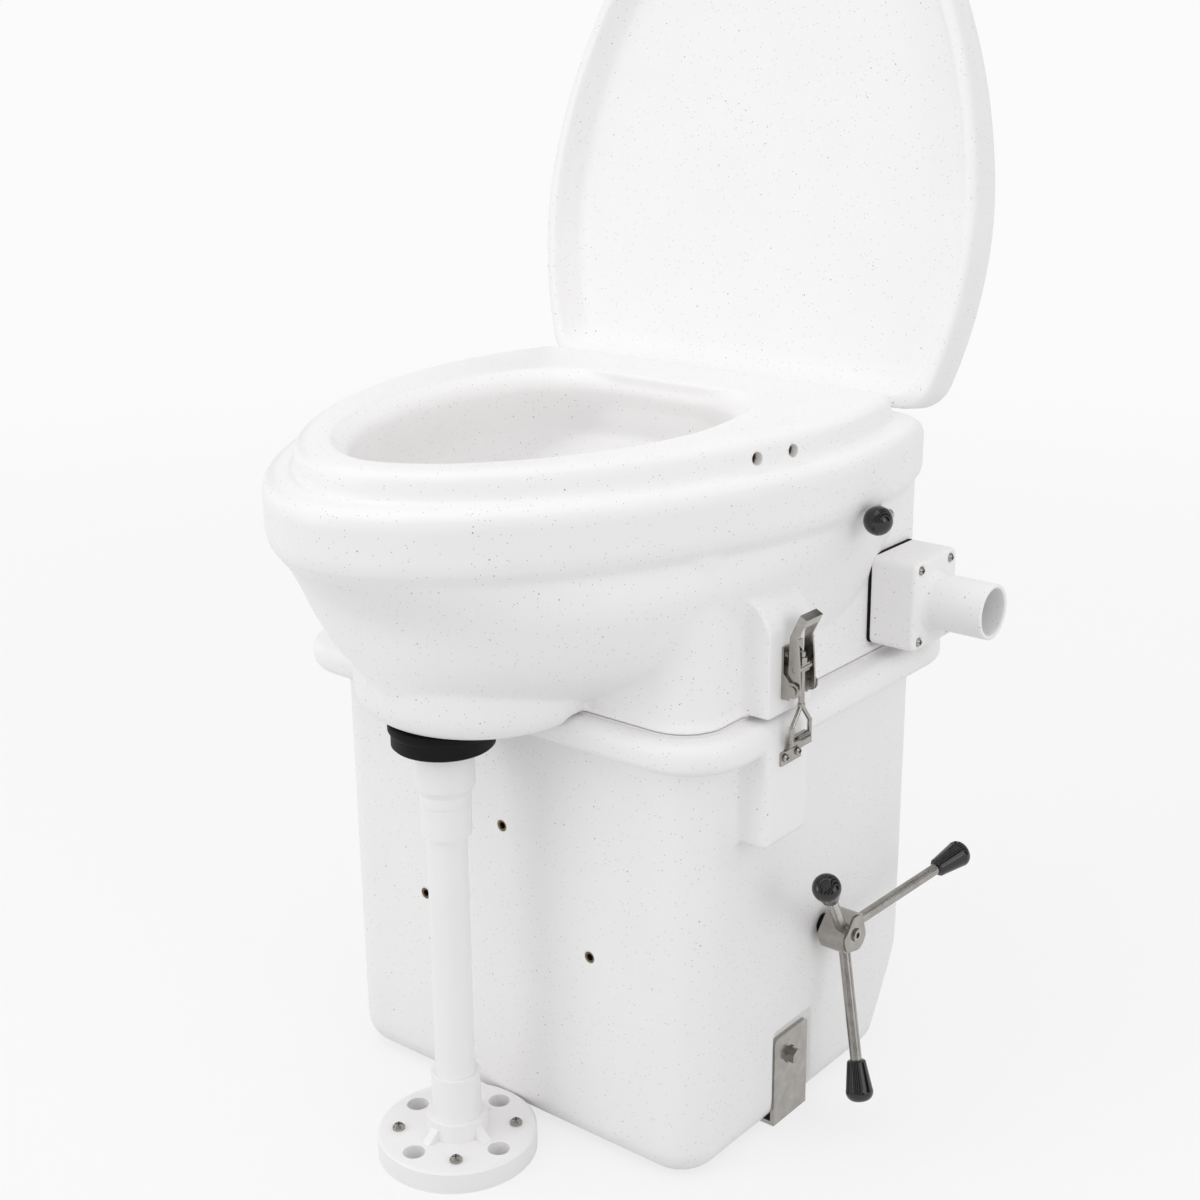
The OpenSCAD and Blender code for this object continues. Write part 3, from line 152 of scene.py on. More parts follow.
lamp("overhead_panel", (-0.3, -0.5, 2.6), 1.8, 9)
lamp("left_panel", (-1.5, -2.3, 1.1), 1.4, 12, (0, 0, 0.3))
lamp("right_panel", (2.4, -0.4, 1.3), 1.2, 7)


# ---------------------------------------------------------------- base tub
# A rotomoulded polyethylene box, open at the top, with a thick rolled rim, a bevel at the lower
# rear, a pad for each latch catch and a pocket for each foot bracket. A ledge inside the rear
# wall carries the rear of the head.
def solid(name, rings):
    """A closed mesh through rings of points in mm, all with the same count."""
    n, m = len(rings[0]), len(rings)
    faces = [(k * n + i, k * n + (i + 1) % n, (k + 1) * n + (i + 1) % n, (k + 1) * n + i)
             for k in range(m - 1) for i in range(n)]
    faces += [tuple(range(n)), tuple((m - 1) * n + i for i in range(n))]
    mesh = bpy.data.meshes.new(name)
    mesh.from_pydata([[c / 1000 for c in p] for r in rings for p in r], [], faces)
    shape = bmesh.new()
    shape.from_mesh(mesh)
    bmesh.ops.recalc_face_normals(shape, faces=shape.faces)
    bmesh.ops.triangulate(shape, faces=[f for f in shape.faces if len(f.verts) > 4])
    shape.to_mesh(mesh)
    shape.free()
    obj = bpy.data.objects.new(name, mesh)
    bpy.context.scene.collection.objects.link(obj)
    return obj


def bake(piece):
    """Turns the piece's modifiers into its mesh."""
    bpy.context.view_layer.update()
    shape = bpy.data.meshes.new_from_object(piece.evaluated_get(bpy.context.evaluated_depsgraph_get()))
    piece.modifiers.clear()
    piece.data = shape


def carve(piece, keep=(), add=(), cut=()):
    """Keeps what lies in keep's solids, adds those of add and takes away those of cut.

    Faces too thin to see that hang on an open edge, or lie back to back, are cleared at the end.
    """
    for operation, others in (("INTERSECT", keep), ("UNION", add), ("DIFFERENCE", cut)):
        for other in others:
            m = piece.modifiers.new(operation.lower(), "BOOLEAN")
            m.operation, m.solver, m.object = operation, "MANIFOLD", other
        bake(piece)
    for other in (*keep, *add, *cut):
        bpy.data.objects.remove(other)
    shape = bmesh.new()
    shape.from_mesh(piece.data)
    same_point, sliver_area = 1e-6, 1e-8
    bmesh.ops.remove_doubles(shape, verts=shape.verts, dist=same_point)
    bmesh.ops.triangulate(shape, faces=[f for f in shape.faces if len(f.verts) > 4])
    small = [f for f in shape.faces if f.calc_area() < sliver_area]
    slivers = [f for f in small if any(len(e.link_faces) != 2 for e in f.edges)
               or len({g for e in f.edges for g in e.link_faces}) == 2]
    bmesh.ops.delete(shape, geom=slivers, context="FACES")
    shape.to_mesh(piece.data)
    shape.free()
    return piece


def moulded(piece, grain, passes):
    """Rounds every edge as a rotational mould leaves it: a skin of grain mm, softened."""
    m = piece.modifiers.new("skin", "REMESH")
    m.mode, m.voxel_size, m.use_smooth_shade = "VOXEL", grain / 1000, True
    m = piece.modifiers.new("soften", "SMOOTH")
    m.factor, m.iterations = 0.5, passes
    bake(piece)
    piece.data.shade_smooth()
    return piece


def prism(name, outline, low, high, along="z"):
    """A straight solid: the outline in mm, drawn across the axis it runs along."""
    place = {"z": lambda u, v, w: (u, v, w), "x": lambda u, v, w: (w, u, v),
             "y": lambda u, v, w: (u, w, v)}[along]
    return solid(name, [[place(u, v, w) for u, v in outline] for w in (low, high)])


def arc(x, y, r, a0, a1, n=12):
    """Points on a circle about x, y, from a0 to a1 degrees."""
    return [(x + r * math.cos(math.radians(a0 + (a1 - a0) * i / n)),
             y + r * math.sin(math.radians(a0 + (a1 - a0) * i / n))) for i in range(n + 1)]


def round_rect(x0, x1, y0, y1, front_r, rear_r=None):
    """A rectangle with rounded corners; those at the rear have their own radius if it is given."""
    rear_r = front_r if rear_r is None else rear_r
    return (arc(x0 + front_r, y0 + front_r, front_r, 180, 270)
            + arc(x1 - front_r, y0 + front_r, front_r, 270, 360)
            + arc(x1 - rear_r, y1 - rear_r, rear_r, 0, 90)
            + arc(x0 + rear_r, y1 - rear_r, rear_r, 90, 180))


def disc(y, z, r, n=48):
    """A full circle of n points about y, z."""
    return [(y + r * math.cos(math.tau * i / n), z + r * math.sin(math.tau * i / n)) for i in range(n)]


def material(name):
    """A material with no nodes yet."""
    m = bpy.data.materials.new(name)
    m.use_nodes = True
    m.node_tree.nodes.clear()
    return m


# Rotomoulded polyethylene: white and satin, with a faint cloudiness of the powder, a fine pebble
# from the mould, sparse charcoal grains of up to 0.9 mm about 40 mm apart, and fine grey ones of
# up to 0.6 mm about 8 mm apart. A grain shows where the surface cuts through it.
polyethylene = material("speckled_polyethylene")
t = polyethylene.node_tree
at = node(t, "ShaderNodeTexCoord")
cloud = node(t, "ShaderNodeTexNoise", None, {"Vector": at.outputs["Object"]},
             Scale=16.0, Detail=3.0, Roughness=0.6)
tone = node(t, "ShaderNodeMix", {"data_type": "RGBA"}, {0: cloud.outputs["Fac"]},
            i6=linear("f3f2f2"), i7=linear("f8f7f7"))


def flecks(t, at, per_metre, size_mm, share, strength):
    """Round grains: one cell of a Voronoi pattern in so many holds a grain of size_mm."""
    cells = node(t, "ShaderNodeTexVoronoi", None, {"Vector": at.outputs["Object"]}, Scale=per_metre)
    edge = size_mm / 2000 * per_metre
    near = node(t, "ShaderNodeMapRange", None, {"Value": cells.outputs["Distance"]},
                From_Min=edge * 1.25, From_Max=edge * 0.75, To_Max=strength)
    pick = node(t, "ShaderNodeSeparateColor", None, {"Color": cells.outputs["Color"]})
    some = node(t, "ShaderNodeMath", {"operation": "LESS_THAN"}, {0: pick.outputs[0]}, i1=share)
    grain = node(t, "ShaderNodeMath", {"operation": "MULTIPLY"}, {0: near.outputs[0], 1: some.outputs[0]})
    return grain.outputs[0]


faint = node(t, "ShaderNodeMix", {"data_type": "RGBA"},
             {0: flecks(t, at, 340.0, 0.55, 0.80, 0.75), 6: tone.outputs[2]}, i7=linear("57544f"))
grained = node(t, "ShaderNodeMix", {"data_type": "RGBA"},
               {0: flecks(t, at, 150.0, 0.85, 0.22, 0.85), 6: faint.outputs[2]}, i7=linear("3a3836"))
peel = node(t, "ShaderNodeTexNoise", None, {"Vector": at.outputs["Object"]}, Scale=700.0, Detail=2.0)
wave = node(t, "ShaderNodeTexNoise", None, {"Vector": at.outputs["Object"]}, Scale=30.0, Detail=1.0)
low = node(t, "ShaderNodeBump", None, {"Height": wave.outputs["Fac"]}, Strength=0.10, Distance=0.004)
pebble = node(t, "ShaderNodeBump", None, {"Height": peel.outputs["Fac"], "Normal": low.outputs[0]},
              Strength=0.12, Distance=0.0003)
satin = node(t, "ShaderNodeMapRange", None, {"Value": cloud.outputs["Fac"]}, To_Min=0.40, To_Max=0.52)
skin = node(t, "ShaderNodeBsdfPrincipled", None,
            {"Base Color": grained.outputs[2], "Roughness": satin.outputs[0], "Normal": pebble.outputs[0]},
            IOR=1.51)
node(t, "ShaderNodeOutputMaterial", None, {"Surface": skin.outputs[0]})


def settle(piece, body, stands_for, finish):
    """Gives a finished piece its material and its body, and hides the CAD parts that it stands for."""
    piece.data.materials.clear()
    piece.data.materials.append(finish)
    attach(piece, body)
    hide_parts(*stands_for)


sides = (-1, 1)
half_w, front_y, rear_y, draft, tub_h = 157.5, -113.0, 163.0, 1.0, 320.0
wall, foot_r, corner_r = 6.0, 22.0, 30.0
bevel_run, bevel_h, knee = 60.0, 110.0, 30.0
bevel_l = math.hypot(bevel_run, bevel_h)
bevel_a = math.degrees(math.atan2(bevel_h, bevel_run))
latch_y, boss_w, boss_x = -44.0, 48.0, 182.0
rim_front, rim_rear, rim_corner, rim_low, rim_r = -133.5, 179.5, 45.0, 299.0, 8.0
drain_y = 166.0  # the drain column stands this far in front of the middle
shaft_y, shaft_z = 39.1, 133.6
boot_room = 35.6  # radius of the room that the rim leaves for the boot


def tub_block(name, i):
    """The outside of the tub, inset by i: a foot rounded all round, walls that lean out."""
    r = foot_r - i
    rings = [(i + r * (1 - math.sin(math.radians(a))), i + r * (1 - math.cos(math.radians(a))))
             for a in range(0, 91, 10)]
    rings.append((i, tub_h + (2 if i else 0)))
    block = []
    for inset, z in rings:
        e = inset - draft * z / tub_h
        outline = round_rect(e - half_w, half_w - e, front_y + e, rear_y - e, corner_r - inset)
        block.append([(x, y, z) for x, y in outline])
    foot = rear_y - bevel_run - i * (bevel_l - bevel_run) / bevel_h - r * math.tan(math.radians(bevel_a / 2))
    knee_z = ((i * bevel_l + (bevel_run - i) * bevel_h) / bevel_run
              + (knee - i) * math.tan(math.radians((90 - bevel_a) / 2)))
    side = ([(-200, 400), (-200, i)] + arc(foot, i + r, r, 270, 270 + bevel_a)
            + arc(rear_y - knee, knee_z, knee - i, bevel_a - 90, 0)
            + [(rear_y - i, tub_h / 2), (rear_y + 5, tub_h / 2 + 20), (rear_y + 5, 400)])
    return carve(solid(name, block), keep=[prism("side", side, -400, 400, "x")])


def rim_ring(i, z):
    """The rim's plan, inset by i, at height z."""
    outline = round_rect(i - boss_x, boss_x - i, rim_front + i, rim_rear - i, rim_corner - i)
    return [(x, y, z) for x, y in outline]


def at_drain(r):
    """A circle round the axis of the drain column."""
    return [(x, y - drain_y) for x, y in disc(0, 0, r)]


turn = [math.radians(a) for a in range(0, 91, 15)]
rim = solid("rim", [rim_ring(rim_r * (1 - math.sin(a)), rim_low + rim_r * (1 - math.cos(a))) for a in turn]
            + [rim_ring(rim_r * (1 - math.sin(a)), tub_h - rim_r * (1 - math.cos(a)))
               for a in reversed(turn)])
tub = tub_block("base_tub_shell", 0)
boss_front, boss_rear = latch_y - boss_w / 2, latch_y + boss_w / 2
pads = [prism("pad", round_rect(*sorted((s * 149.5, s * boss_x)), boss_front, boss_rear, 4), 237, 312)
        for s in sides]
pockets = [prism(name, round_rect(*sorted((s * inner, s * 168)), -17.5, 28.5, 2), -1, top)
           for s in sides for name, inner, top in (("pocket", 154.3, 73), ("foot_pocket", 118.3, 2.2))]
scallop = prism("scallop", at_drain(boot_room), 298, 313.3)
carve(tub, add=[rim, *pads], cut=[tub_block("inside", wall), *pockets, scallop])
carve(tub, add=[prism("rear_ledge", round_rect(-152.5, 152.5, 141, 158.5, 2), 312, tub_h)])
moulded(tub, 1.9, 3)
shaft_holes = [prism("shaft_hole", disc(shaft_y, shaft_z, 6.6), *sorted((s * 137.5, s * 177.5)), "x")
               for s in sides]
insert_r = 4.1
insert_holes = [prism("insert_hole", disc(x, z, insert_r), -116, -100.5, "y")
                for x, z in ((0, 219), (-74.6, 145.6), (74.6, 145.6))]
carve(tub, cut=shaft_holes + insert_holes)
settle(tub, "body", ["base_tub"], polyethylene)


# ---------------------------------------------------------------- head
# One rotomoulded piece: the egg-shaped seat on its broad band, the cone of the bowl under it, the
# boxy foot that sits on the tub, the pan over the drain, and the bowl that slopes to the trap.
widest_y, egg_power, lean_in = 21.0, 1.15, 18


def egg(w, front, rear, corner, widest=widest_y, power=egg_power):
    """Plan of the seat family, clockwise from the rear: round rear corners, sides that draw in."""
    lean = math.tan(math.radians(lean_in))
    join = rear - corner + corner * math.sin(math.radians(lean_in))
    cx = w - (join - widest) / 2 * lean - corner * math.cos(math.radians(lean_in))
    half = arc(cx, rear - corner, corner, 90, lean_in, 14)
    half += [(w - (join - widest) / 2 * lean * q * q, widest + (join - widest) * q)
             for q in [1 - k / 12 for k in range(1, 12)]]
    half += [(w * math.cos(a) ** power, widest - (widest - front) * math.sin(a) ** power)
             for a in [math.pi / 2 * k / 60 for k in range(60)]]
    return half + [(0.0, front)] + [(-x, y) for x, y in reversed(half)]


def ring(outline, z, rise=0.0):
    """The outline at height z, which climbs by rise for each mm behind its front."""
    front = min(y for _, y in outline)
    return [(x, y, z + rise * (y - front)) for x, y in outline]


def eased(stops, n):
    """Values between the stops on a smooth curve, n to each step."""
    out = []
    for k in range(len(stops) - 1):
        a, b, c, d = (stops[min(max(j, 0), len(stops) - 1)] for j in (k - 1, k, k + 1, k + 2))
        for i in range(n):
            u = i / n
            out.append([0.5 * (2 * q + (r - p) * u + (2 * p - 5 * q + 4 * r - s) * u * u
                               + (3 * q - p - 3 * r + s) * u ** 3) for p, q, r, s in zip(a, b, c, d)])
    return out + [list(stops[-1])]


# Each row is a height and an inset or outset; the cone's are height, half width, front, rear,
# climb and power of its plan.
seat_half, seat_front, seat_rear = 169.0, -251.0, 122.0
cone = [(323, 153.5, -204, 118, 0.1, 1.5), (326, 157.7, -208, 122, 0.1, 1.5),
        (362, 163.5, -217.5, 131, 0.0, 1.0), (396, 177, -228.5, 138, 0.07, 0.9),
        (430, 180.5, -266.5, 143, 0.0, 1.15)]
band = [(430, 7), (434, 4), (438, 1.3), (444, 0), (466, 0), (471, 1.4), (474, 4.4), (476, 9)]
seat = [(476, 2), (478, 0.3), (486, -0.3), (490, -1.8), (492.8, -5.5), (494, -11)]
outer = [ring(egg(w, f, r, 24, power=p), z, k) for z, w, f, r, k, p in eased(cone, 6)[:-1]]
outer += [ring(egg(187.5 - i, -273.5 + i, 150 - i, 28), z) for z, i in band]
outer += [ring(egg(seat_half + i, seat_front - i, seat_rear + i, 12), z) for z, i in seat]
head = solid("head_shell", outer)

foot_z = 322.0
box = prism("box", round_rect(-161, 161, -117.5, 150, 27, 17), foot_z, 439)
flange = prism("flange", round_rect(-164.5, 164.5, -121, 153.5, 30.5, 17), foot_z, 325.5)
sump_r, sump_y, sump_e, sump_z = 81.0, -130.5, 20.0, 313.0
profile = [(sump_r - sump_e + sump_e * math.sin(math.radians(a)),
            sump_z + sump_e - sump_e * math.cos(math.radians(a))) for a in range(0, 91, 10)]
profile.append((sump_r, 362.0))
sump = solid("sump", [[(x, y + sump_y, z) for x, y in disc(0, 0, r, 96)] for r, z in profile])
behind = prism("behind", [(-90, -133.8), (90, -133.8), (90, -30), (-90, -30)], 300, foot_z)
carve(sump, cut=[behind])
pad_line = ((141, 323.5), (182, 323.5), (182, 380), (180, 385), (176, 391), (159, 407), (141, 407))
pads = [prism("latch_pad", [(s * x, z) for x, z in pad_line], boss_front, boss_rear, "y") for s in sides]
spigot = prism("spigot", at_drain(19.5), 305, 316)
hinge_y, hinge_z, knuckle_r = 140.5, 479.0, 5.5
knuckles_x = (-70, 70)
lug_line = [(135, 468)] + arc(hinge_y, hinge_z, knuckle_r, 180, 0) + [(146, 468)]
lugs = [prism("lug", lug_line, x + s * 20 - 4.5, x + s * 20 + 4.5, "x") for x in knuckles_x for s in sides]
trap_y, trap_z, trap_slope = 56.0, 429.0, 29


def down_door(s, n):
    """A point s down the slope of the trap door from its hinge, and n above it, as (y, z)."""
    a = math.radians(trap_slope)
    return (trap_y - s * math.cos(a) - n * math.sin(a), trap_z - s * math.sin(a) + n * math.cos(a))


bowl_half = 106
bowl_stops = [(315, -48, 30), (332, -36, 20), (392, -5, 12), (440, 8, 8), (474, 1, 0), (482, 0, 0),
              (488, 2.5, 0), (492, 7, 0), (495.5, 12, 0)]
bowl = solid("bowl", [ring(egg(bowl_half + e, -217 + f - (0 if f > 0.5 else max(e, 0)), 57 + e,
                               0.62 * (bowl_half + e), -50), z) for z, e, f in eased(bowl_stops, 4)])
low = [(-300, 505), (-300, 320), (-150, 320), down_door(154, 16), down_door(-12, 16),
       (down_door(-12, 16)[0], 505)]
carve(bowl, keep=[prism("above_floor", low, -200, 200, "x")])
chute = solid("chute", [[(x, *down_door(-y, n)) for x, y in round_rect(-60, 60, -140, -14, 20)]
                        for n in (6, 20)])
hollow = prism("hollow", round_rect(-155, 155, -111.5, 144, 21, 17), 300, 470)
roof = [(-130, 300), (160, 300), (160, 441), down_door(-12, 8), down_door(158, 8), (-111.5, 336), (-130, 336)]
carve(hollow, keep=[prism("roof", roof, -170, 170, "x")])
drain = prism("drain", at_drain(10), 300, 345)
carve(head, add=[box, flange, sump, *pads, spigot, *lugs], cut=[bowl, chute, hollow, drain])
moulded(head, 1.7, 3)
air_y, air_z = 108.0, 359.5
holes = []
for s in sides:
    holes.append(prism("air_hole", disc(air_y, air_z, 18), *sorted((s * 150, s * 164)), "x"))
    holes.append(prism("bush_hole", disc(trap_y, trap_z, 6.1), *sorted((s * 152, s * 167)), "x"))
holes.append(prism("rod_hole", disc(trap_y, trap_z, 5.5), 165, 206, "x"))
for x in knuckles_x:
    holes.append(prism("knuckle_room", disc(hinge_y, hinge_z, 6.3), x - 16, x + 16, "x"))
    holes.append(prism("pin_hole", disc(hinge_y, hinge_z, 3.1), x - 26, x + 26, "x"))
for y in (-51, -21):
    along_side = ((widest_y - y) / (widest_y - seat_front)) ** (2 / egg_power)
    x = seat_half * (1 - along_side) ** (egg_power / 2)
    holes.append(prism("insert_hole", disc(y, 483, insert_r), x - 14, x + 8, "x"))
carve(head, cut=holes)
settle(head, "body", ["head_bowl"], polyethylene)


# ---------------------------------------------------------------- lid
# A double-walled rotomoulded lid with a rolled lip, which leans back on two pins behind the seat.
# It is made closed, above lid_z, and then swung open. Each row is a height and an outset.
def lid_ring(i, z):
    """The lid's plan, grown by i, at height z."""
    return ring(egg(185 + i, -267 - i, 141.5 + i, 26), z)


lid_z, lid_open = 478.0, 99.2
crown = ((0, -3), (1, -1), (3, 0), (27, 0), (32, -2), (35, -7), (38, -20), (41, -52), (42.5, -90))
lid = solid("lid_shell", [lid_ring(i, lid_z + z) for z, i in crown])
hollow_side = ((-1, -8.5), (1.5, -10), (8, -12), (14, -15.5), (17, -19), (18.5, -25))
dish = solid("dish", [lid_ring(i, lid_z + z) for z, i in hollow_side])
knuckles = [prism("knuckle", disc(hinge_y, hinge_z, knuckle_r), x - 15, x + 15, "x") for x in knuckles_x]
carve(lid, add=knuckles, cut=[dish])
moulded(lid, 1.8, 3)
lug_room = [(134.2, 470.5), (150.7, 470.5), (150.7, 485.3), (134.2, 485.3)]
notches = [prism("notch", lug_room, x + s * 20 - 5, x + s * 20 + 5, "x") for x in knuckles_x for s in sides]
pins = [prism("pin_hole", disc(hinge_y, hinge_z, 3.2), x - 16, x + 16, "x") for x in knuckles_x]
carve(lid, cut=notches + pins)
to_hinge = Matrix.Translation((0, hinge_y / 1000, hinge_z / 1000))
lid.data.transform(to_hinge @ Matrix.Rotation(math.radians(-lid_open), 4, "X")
                   @ Matrix.Translation((0, -hinge_y / 1000, -hinge_z / 1000)))
settle(lid, "lid", ["lid"], polyethylene)


# ---------------------------------------------------------------- vent housing and intake cover
# Moulded boxes of the same plastic, screwed to the sides of the head over a flat gasket; the right
# one holds the fan and ends in a hose stub, the left one lets air in through louvres.
for name in ("vent_housing", "intake_cover"):
    cover = bpy.data.objects.new(name + "_moulded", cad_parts[name].data.copy())
    bpy.context.scene.collection.objects.link(cover)
    moulded(cover, 0.9, 4)
    settle(cover, "body", [name], polyethylene)


# ---------------------------------------------------------------- drain column
# Plain white PVC: a reducer, a coupling, a three-quarter-inch pipe and its floor flange, glued and
# screwed down. Extruded and moulded smooth, so it is glossier than the shell, with faint draw lines.
pvc = material("extruded_pvc")
t = pvc.node_tree
at = node(t, "ShaderNodeTexCoord")
cloud = node(t, "ShaderNodeTexNoise", None, {"Vector": at.outputs["Object"]}, Scale=14.0, Detail=1.0)
tone = node(t, "ShaderNodeMix", {"data_type": "RGBA"}, {0: cloud.outputs["Fac"]},
            i6=linear("f1f0f0"), i7=linear("f6f5f5"))
long = node(t, "ShaderNodeMapping", None, {"Vector": at.outputs["Object"]}, Scale=(1.0, 1.0, 0.02))
draw = node(t, "ShaderNodeTexNoise", None, {"Vector": long.outputs[0]}, Scale=260.0, Detail=1.0)
gloss = node(t, "ShaderNodeMapRange", None, {"Value": draw.outputs["Fac"]}, To_Min=0.30, To_Max=0.38)
sag = node(t, "ShaderNodeBump", None, {"Height": cloud.outputs["Fac"]}, Strength=0.05, Distance=0.002)
skin = node(t, "ShaderNodeBsdfPrincipled", None,
            {"Base Color": tone.outputs[2], "Roughness": gloss.outputs[0], "Normal": sag.outputs[0]},
            IOR=1.53)
node(t, "ShaderNodeOutputMaterial", None, {"Surface": skin.outputs[0]})


def finish(names, paint):
    """Gives CAD parts whose shape is right their material."""
    for name in names:
        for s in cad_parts[name].material_slots:
            s.material = paint


finish(["reducer_bush", "upper_coupling", "drain_pipe", "lower_bushing", "floor_flange"], pvc)


# ---------------------------------------------------------------- drain boot, gaskets and seals
# Near-black moulded rubber: matt, with a fine bloom of dust that lightens it in patches.
rubber = material("moulded_rubber")
t = rubber.node_tree
at = node(t, "ShaderNodeTexCoord")
bloom = node(t, "ShaderNodeTexNoise", None, {"Vector": at.outputs["Object"]},
             Scale=55.0, Detail=5.0, Roughness=0.7)
tone = node(t, "ShaderNodeMix", {"data_type": "RGBA"}, {0: bloom.outputs["Fac"]},
            i6=linear("060606"), i7=linear("131314"))
grit = node(t, "ShaderNodeTexNoise", None, {"Vector": at.outputs["Object"]}, Scale=1500.0, Detail=2.0)
rough = node(t, "ShaderNodeMapRange", None, {"Value": bloom.outputs["Fac"]}, To_Min=0.50, To_Max=0.72)
skin_bump = node(t, "ShaderNodeBump", None, {"Height": grit.outputs["Fac"]}, Strength=0.15, Distance=0.0002)
skin = node(t, "ShaderNodeBsdfPrincipled", None,
            {"Base Color": tone.outputs[2], "Roughness": rough.outputs[0], "Normal": skin_bump.outputs[0]},
            IOR=1.52, Specular_IOR_Level=0.15)
node(t, "ShaderNodeOutputMaterial", None, {"Surface": skin.outputs[0]})

half_turn = [(19.6, 296.2), (32.2, 296.2), (33.4, 297.4), (33.4, 305.2), (33.9, 306.2), (34.7, 306.8),
             (35.2, 307.8), (35.2, 311.6), (34.6, 312.6), (33.6, 312.9), (19.6, 312.9)]
boot = solid("rubber_boot", [[(x, y - drain_y, z) for x, y in disc(0, 0, r, 96)] for r, z in half_turn])
boot.data.shade_smooth()
m = boot.modifiers.new("edges", "EDGE_SPLIT")
m.split_angle = math.radians(50)
bake(boot)
settle(boot, "body", ["drain_boot"], rubber)
finish(["shaft_seals", "vent_gasket", "intake_gasket"], rubber)


# ---------------------------------------------------------------- latches, crank, shafts and screws
# Stainless steel: the rods are drawn, the hub is cast and tumbled and the latch is pressed from sheet.
# All keep a satin, slightly streaked surface with darker handling marks.
stainless = material("satin_stainless")
t = stainless.node_tree
at = node(t, "ShaderNodeTexCoord")
drawn = node(t, "ShaderNodeMapping", None, {"Vector": at.outputs["Object"]}, Scale=(1.0, 1.0, 0.12))
streak = node(t, "ShaderNodeTexNoise", None, {"Vector": drawn.outputs[0]}, Scale=1400.0, Detail=3.0)
mark = node(t, "ShaderNodeTexNoise", None, {"Vector": at.outputs["Object"]},
            Scale=120.0, Detail=4.0, Roughness=0.6)
tone = node(t, "ShaderNodeMix", {"data_type": "RGBA"}, {0: mark.outputs["Fac"]},
            i6=linear("8d8a86"), i7=linear("bebbb6"))
rough = node(t, "ShaderNodeMapRange", None, {"Value": mark.outputs["Fac"]}, To_Min=0.14, To_Max=0.30)
lines = node(t, "ShaderNodeBump", None, {"Height": streak.outputs["Fac"]}, Strength=0.10, Distance=0.0001)
skin = node(t, "ShaderNodeBsdfPrincipled", None,
            {"Base Color": tone.outputs[2], "Roughness": rough.outputs[0], "Normal": lines.outputs[0]},
            Metallic=1.0)
node(t, "ShaderNodeOutputMaterial", None, {"Surface": skin.outputs[0]})
finish([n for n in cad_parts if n.startswith(("latch_", "foot_bracket", "spoke_"))], stainless)
finish(["lid_hinge_pins", "trap_shaft", "trap_screws", "agitator_shaft", "agitator_bars", "shaft_end_nut",
        "crank_hub", "hub_bolt", "vent_screws", "intake_screws", "bracket_bolts", "flange_screws",
        "insect_screens"], stainless)


# ---------------------------------------------------------------- knobs and the trap ball
# Black phenolic, compression moulded and polished, with the faint orange peel of the polish.
phenolic = material("polished_phenolic")
t = phenolic.node_tree
at = node(t, "ShaderNodeTexCoord")
haze = node(t, "ShaderNodeTexNoise", None, {"Vector": at.outputs["Object"]}, Scale=90.0, Detail=4.0)
tone = node(t, "ShaderNodeMix", {"data_type": "RGBA"}, {0: haze.outputs["Fac"]},
            i6=linear("040405"), i7=linear("0b0b0c"))
rough = node(t, "ShaderNodeMapRange", None, {"Value": haze.outputs["Fac"]}, To_Min=0.06, To_Max=0.20)
orange = node(t, "ShaderNodeTexNoise", None, {"Vector": at.outputs["Object"]}, Scale=420.0, Detail=1.0)
dents = node(t, "ShaderNodeBump", None, {"Height": orange.outputs["Fac"]}, Strength=0.03, Distance=0.0003)
skin = node(t, "ShaderNodeBsdfPrincipled", None,
            {"Base Color": tone.outputs[2], "Roughness": rough.outputs[0], "Normal": dents.outputs[0]},
            IOR=1.60)
node(t, "ShaderNodeOutputMaterial", None, {"Surface": skin.outputs[0]})
finish(["trap_knob", "knob_upper", "knob_rear", "knob_lower"], phenolic)


# ---------------------------------------------------------------- trap door and nylon bushes
# The door is injection moulded polypropylene and the bushes are turned nylon: both natural off-white,
# the nylon a little yellower, with fine turning or flow marks.
def natural_plastic(name, dark, pale, grain, ior):
    """A plain uncoloured plastic that clouds between two tones, grain times in a metre."""
    m = material(name)
    t = m.node_tree
    at = node(t, "ShaderNodeTexCoord")
    flow = node(t, "ShaderNodeTexNoise", None, {"Vector": at.outputs["Object"]}, Scale=grain, Detail=3.0)
    tone = node(t, "ShaderNodeMix", {"data_type": "RGBA"}, {0: flow.outputs["Fac"]},
                i6=linear(dark), i7=linear(pale))
    rough = node(t, "ShaderNodeMapRange", None, {"Value": flow.outputs["Fac"]}, To_Min=0.35, To_Max=0.50)
    dents = node(t, "ShaderNodeBump", None, {"Height": flow.outputs["Fac"]}, Strength=0.05, Distance=0.0004)
    skin = node(t, "ShaderNodeBsdfPrincipled", None,
                {"Base Color": tone.outputs[2], "Roughness": rough.outputs[0], "Normal": dents.outputs[0]},
                IOR=ior)
    node(t, "ShaderNodeOutputMaterial", None, {"Surface": skin.outputs[0]})
    return m


finish(["trap_door"], natural_plastic("moulded_polypropylene", "dad9d5", "e8e7e3", 60.0, 1.49))
finish(["trap_bushes", "shaft_bushes"], natural_plastic("turned_nylon", "cfcbbd", "e2decf", 300.0, 1.53))


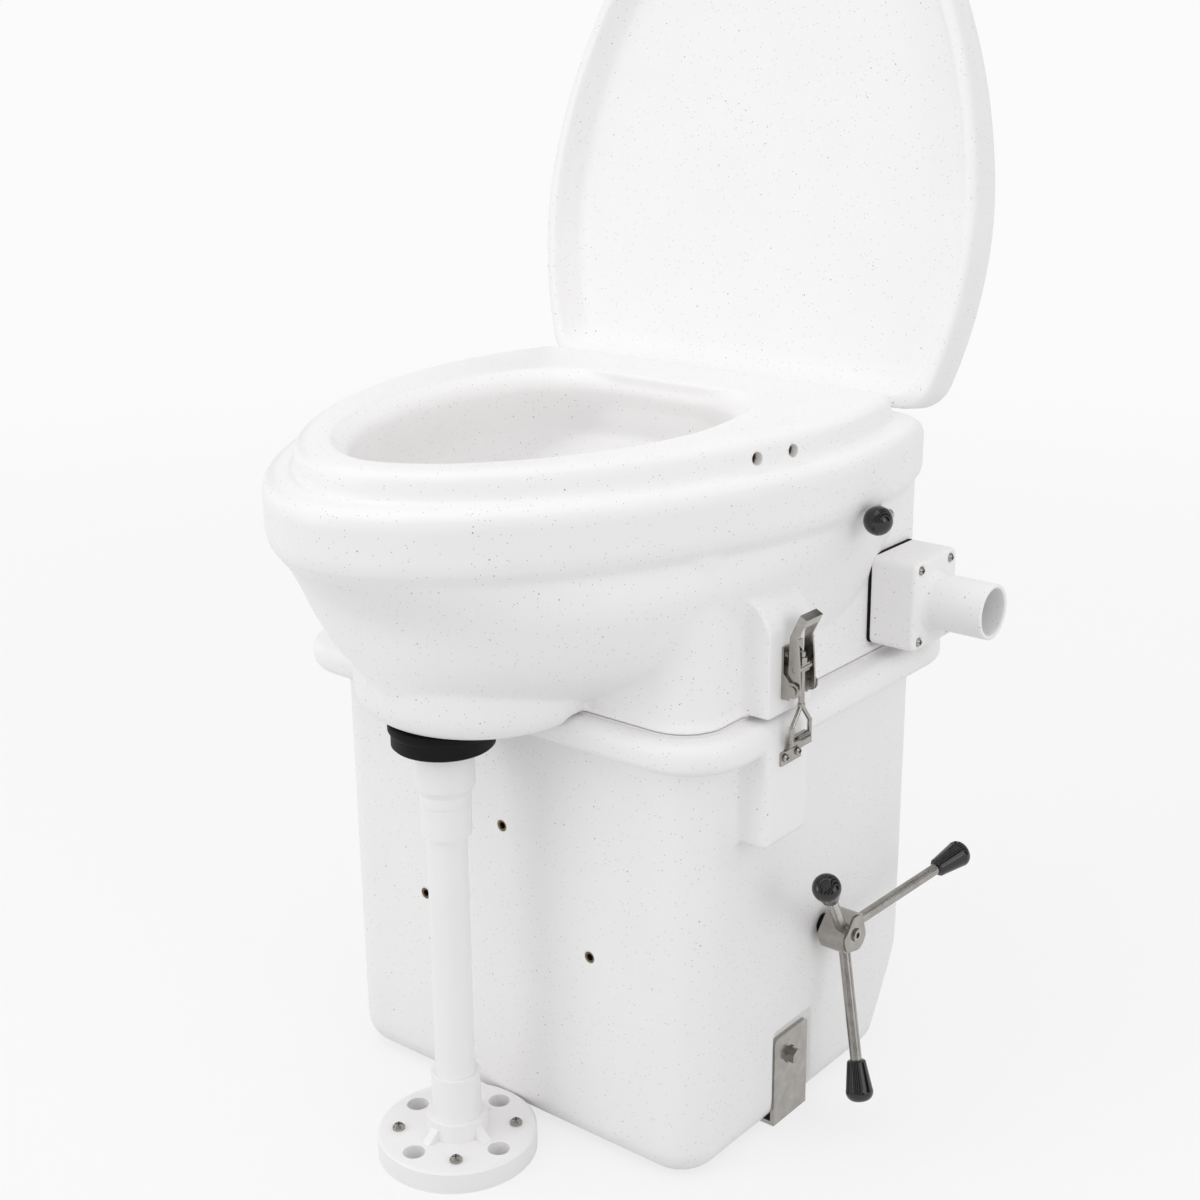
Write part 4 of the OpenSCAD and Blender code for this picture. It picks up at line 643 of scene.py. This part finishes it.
# ---------------------------------------------------------------- rim gasket
# A soft strip of translucent white silicone between the head and the rim. It has the dull skin of
# a cast rubber, and shows as a pale line round the joint.
silicone = natural_plastic("cast_silicone", "e2e1e1", "eeeded", 90.0, 1.41)
strip = carve(prism("rim_strip", round_rect(-164.2, 164.2, -120.7, 153.2, 30.2, 17), 320, 322),
              cut=[prism("hole", round_rect(-159, 159, -115.5, 148, 25, 12), 319, 323)])
settle(strip, "body", ["rim_gasket"], silicone)


# ---------------------------------------------------------------- threaded inserts
# Knurled brass, moulded into the walls and dulled by the oven, so that they look brown, nearly grey.
insert_brass = material("dulled_brass")
t = insert_brass.node_tree
at = node(t, "ShaderNodeTexCoord")
tarnish = node(t, "ShaderNodeTexNoise", None, {"Vector": at.outputs["Object"]}, Scale=500.0, Detail=4.0)
tone = node(t, "ShaderNodeMix", {"data_type": "RGBA"}, {0: tarnish.outputs["Fac"]},
            i6=linear("5e5240"), i7=linear("94836a"))
rough = node(t, "ShaderNodeMapRange", None, {"Value": tarnish.outputs["Fac"]}, To_Min=0.35, To_Max=0.60)
skin = node(t, "ShaderNodeBsdfPrincipled", None,
            {"Base Color": tone.outputs[2], "Roughness": rough.outputs[0]}, Metallic=1.0)
node(t, "ShaderNodeOutputMaterial", None, {"Surface": skin.outputs[0]})
finish(["front_inserts", "seat_inserts"], insert_brass)


# ---------------------------------------------------------------- fan
# A small square fan of black glass-filled polyester, matt, with faint pale flow lines of the glass.
polyester = material("glass_filled_polyester")
t = polyester.node_tree
at = node(t, "ShaderNodeTexCoord")
glass = node(t, "ShaderNodeTexNoise", None, {"Vector": at.outputs["Object"]},
             Scale=250.0, Detail=5.0, Roughness=0.7)
tone = node(t, "ShaderNodeMix", {"data_type": "RGBA"}, {0: glass.outputs["Fac"]},
            i6=linear("141416"), i7=linear("2c2c2f"))
rough = node(t, "ShaderNodeMapRange", None, {"Value": glass.outputs["Fac"]}, To_Min=0.42, To_Max=0.60)
skin = node(t, "ShaderNodeBsdfPrincipled", None,
            {"Base Color": tone.outputs[2], "Roughness": rough.outputs[0]}, IOR=1.55)
node(t, "ShaderNodeOutputMaterial", None, {"Surface": skin.outputs[0]})
finish(["fan_frame", "fan_rotor"], polyester)
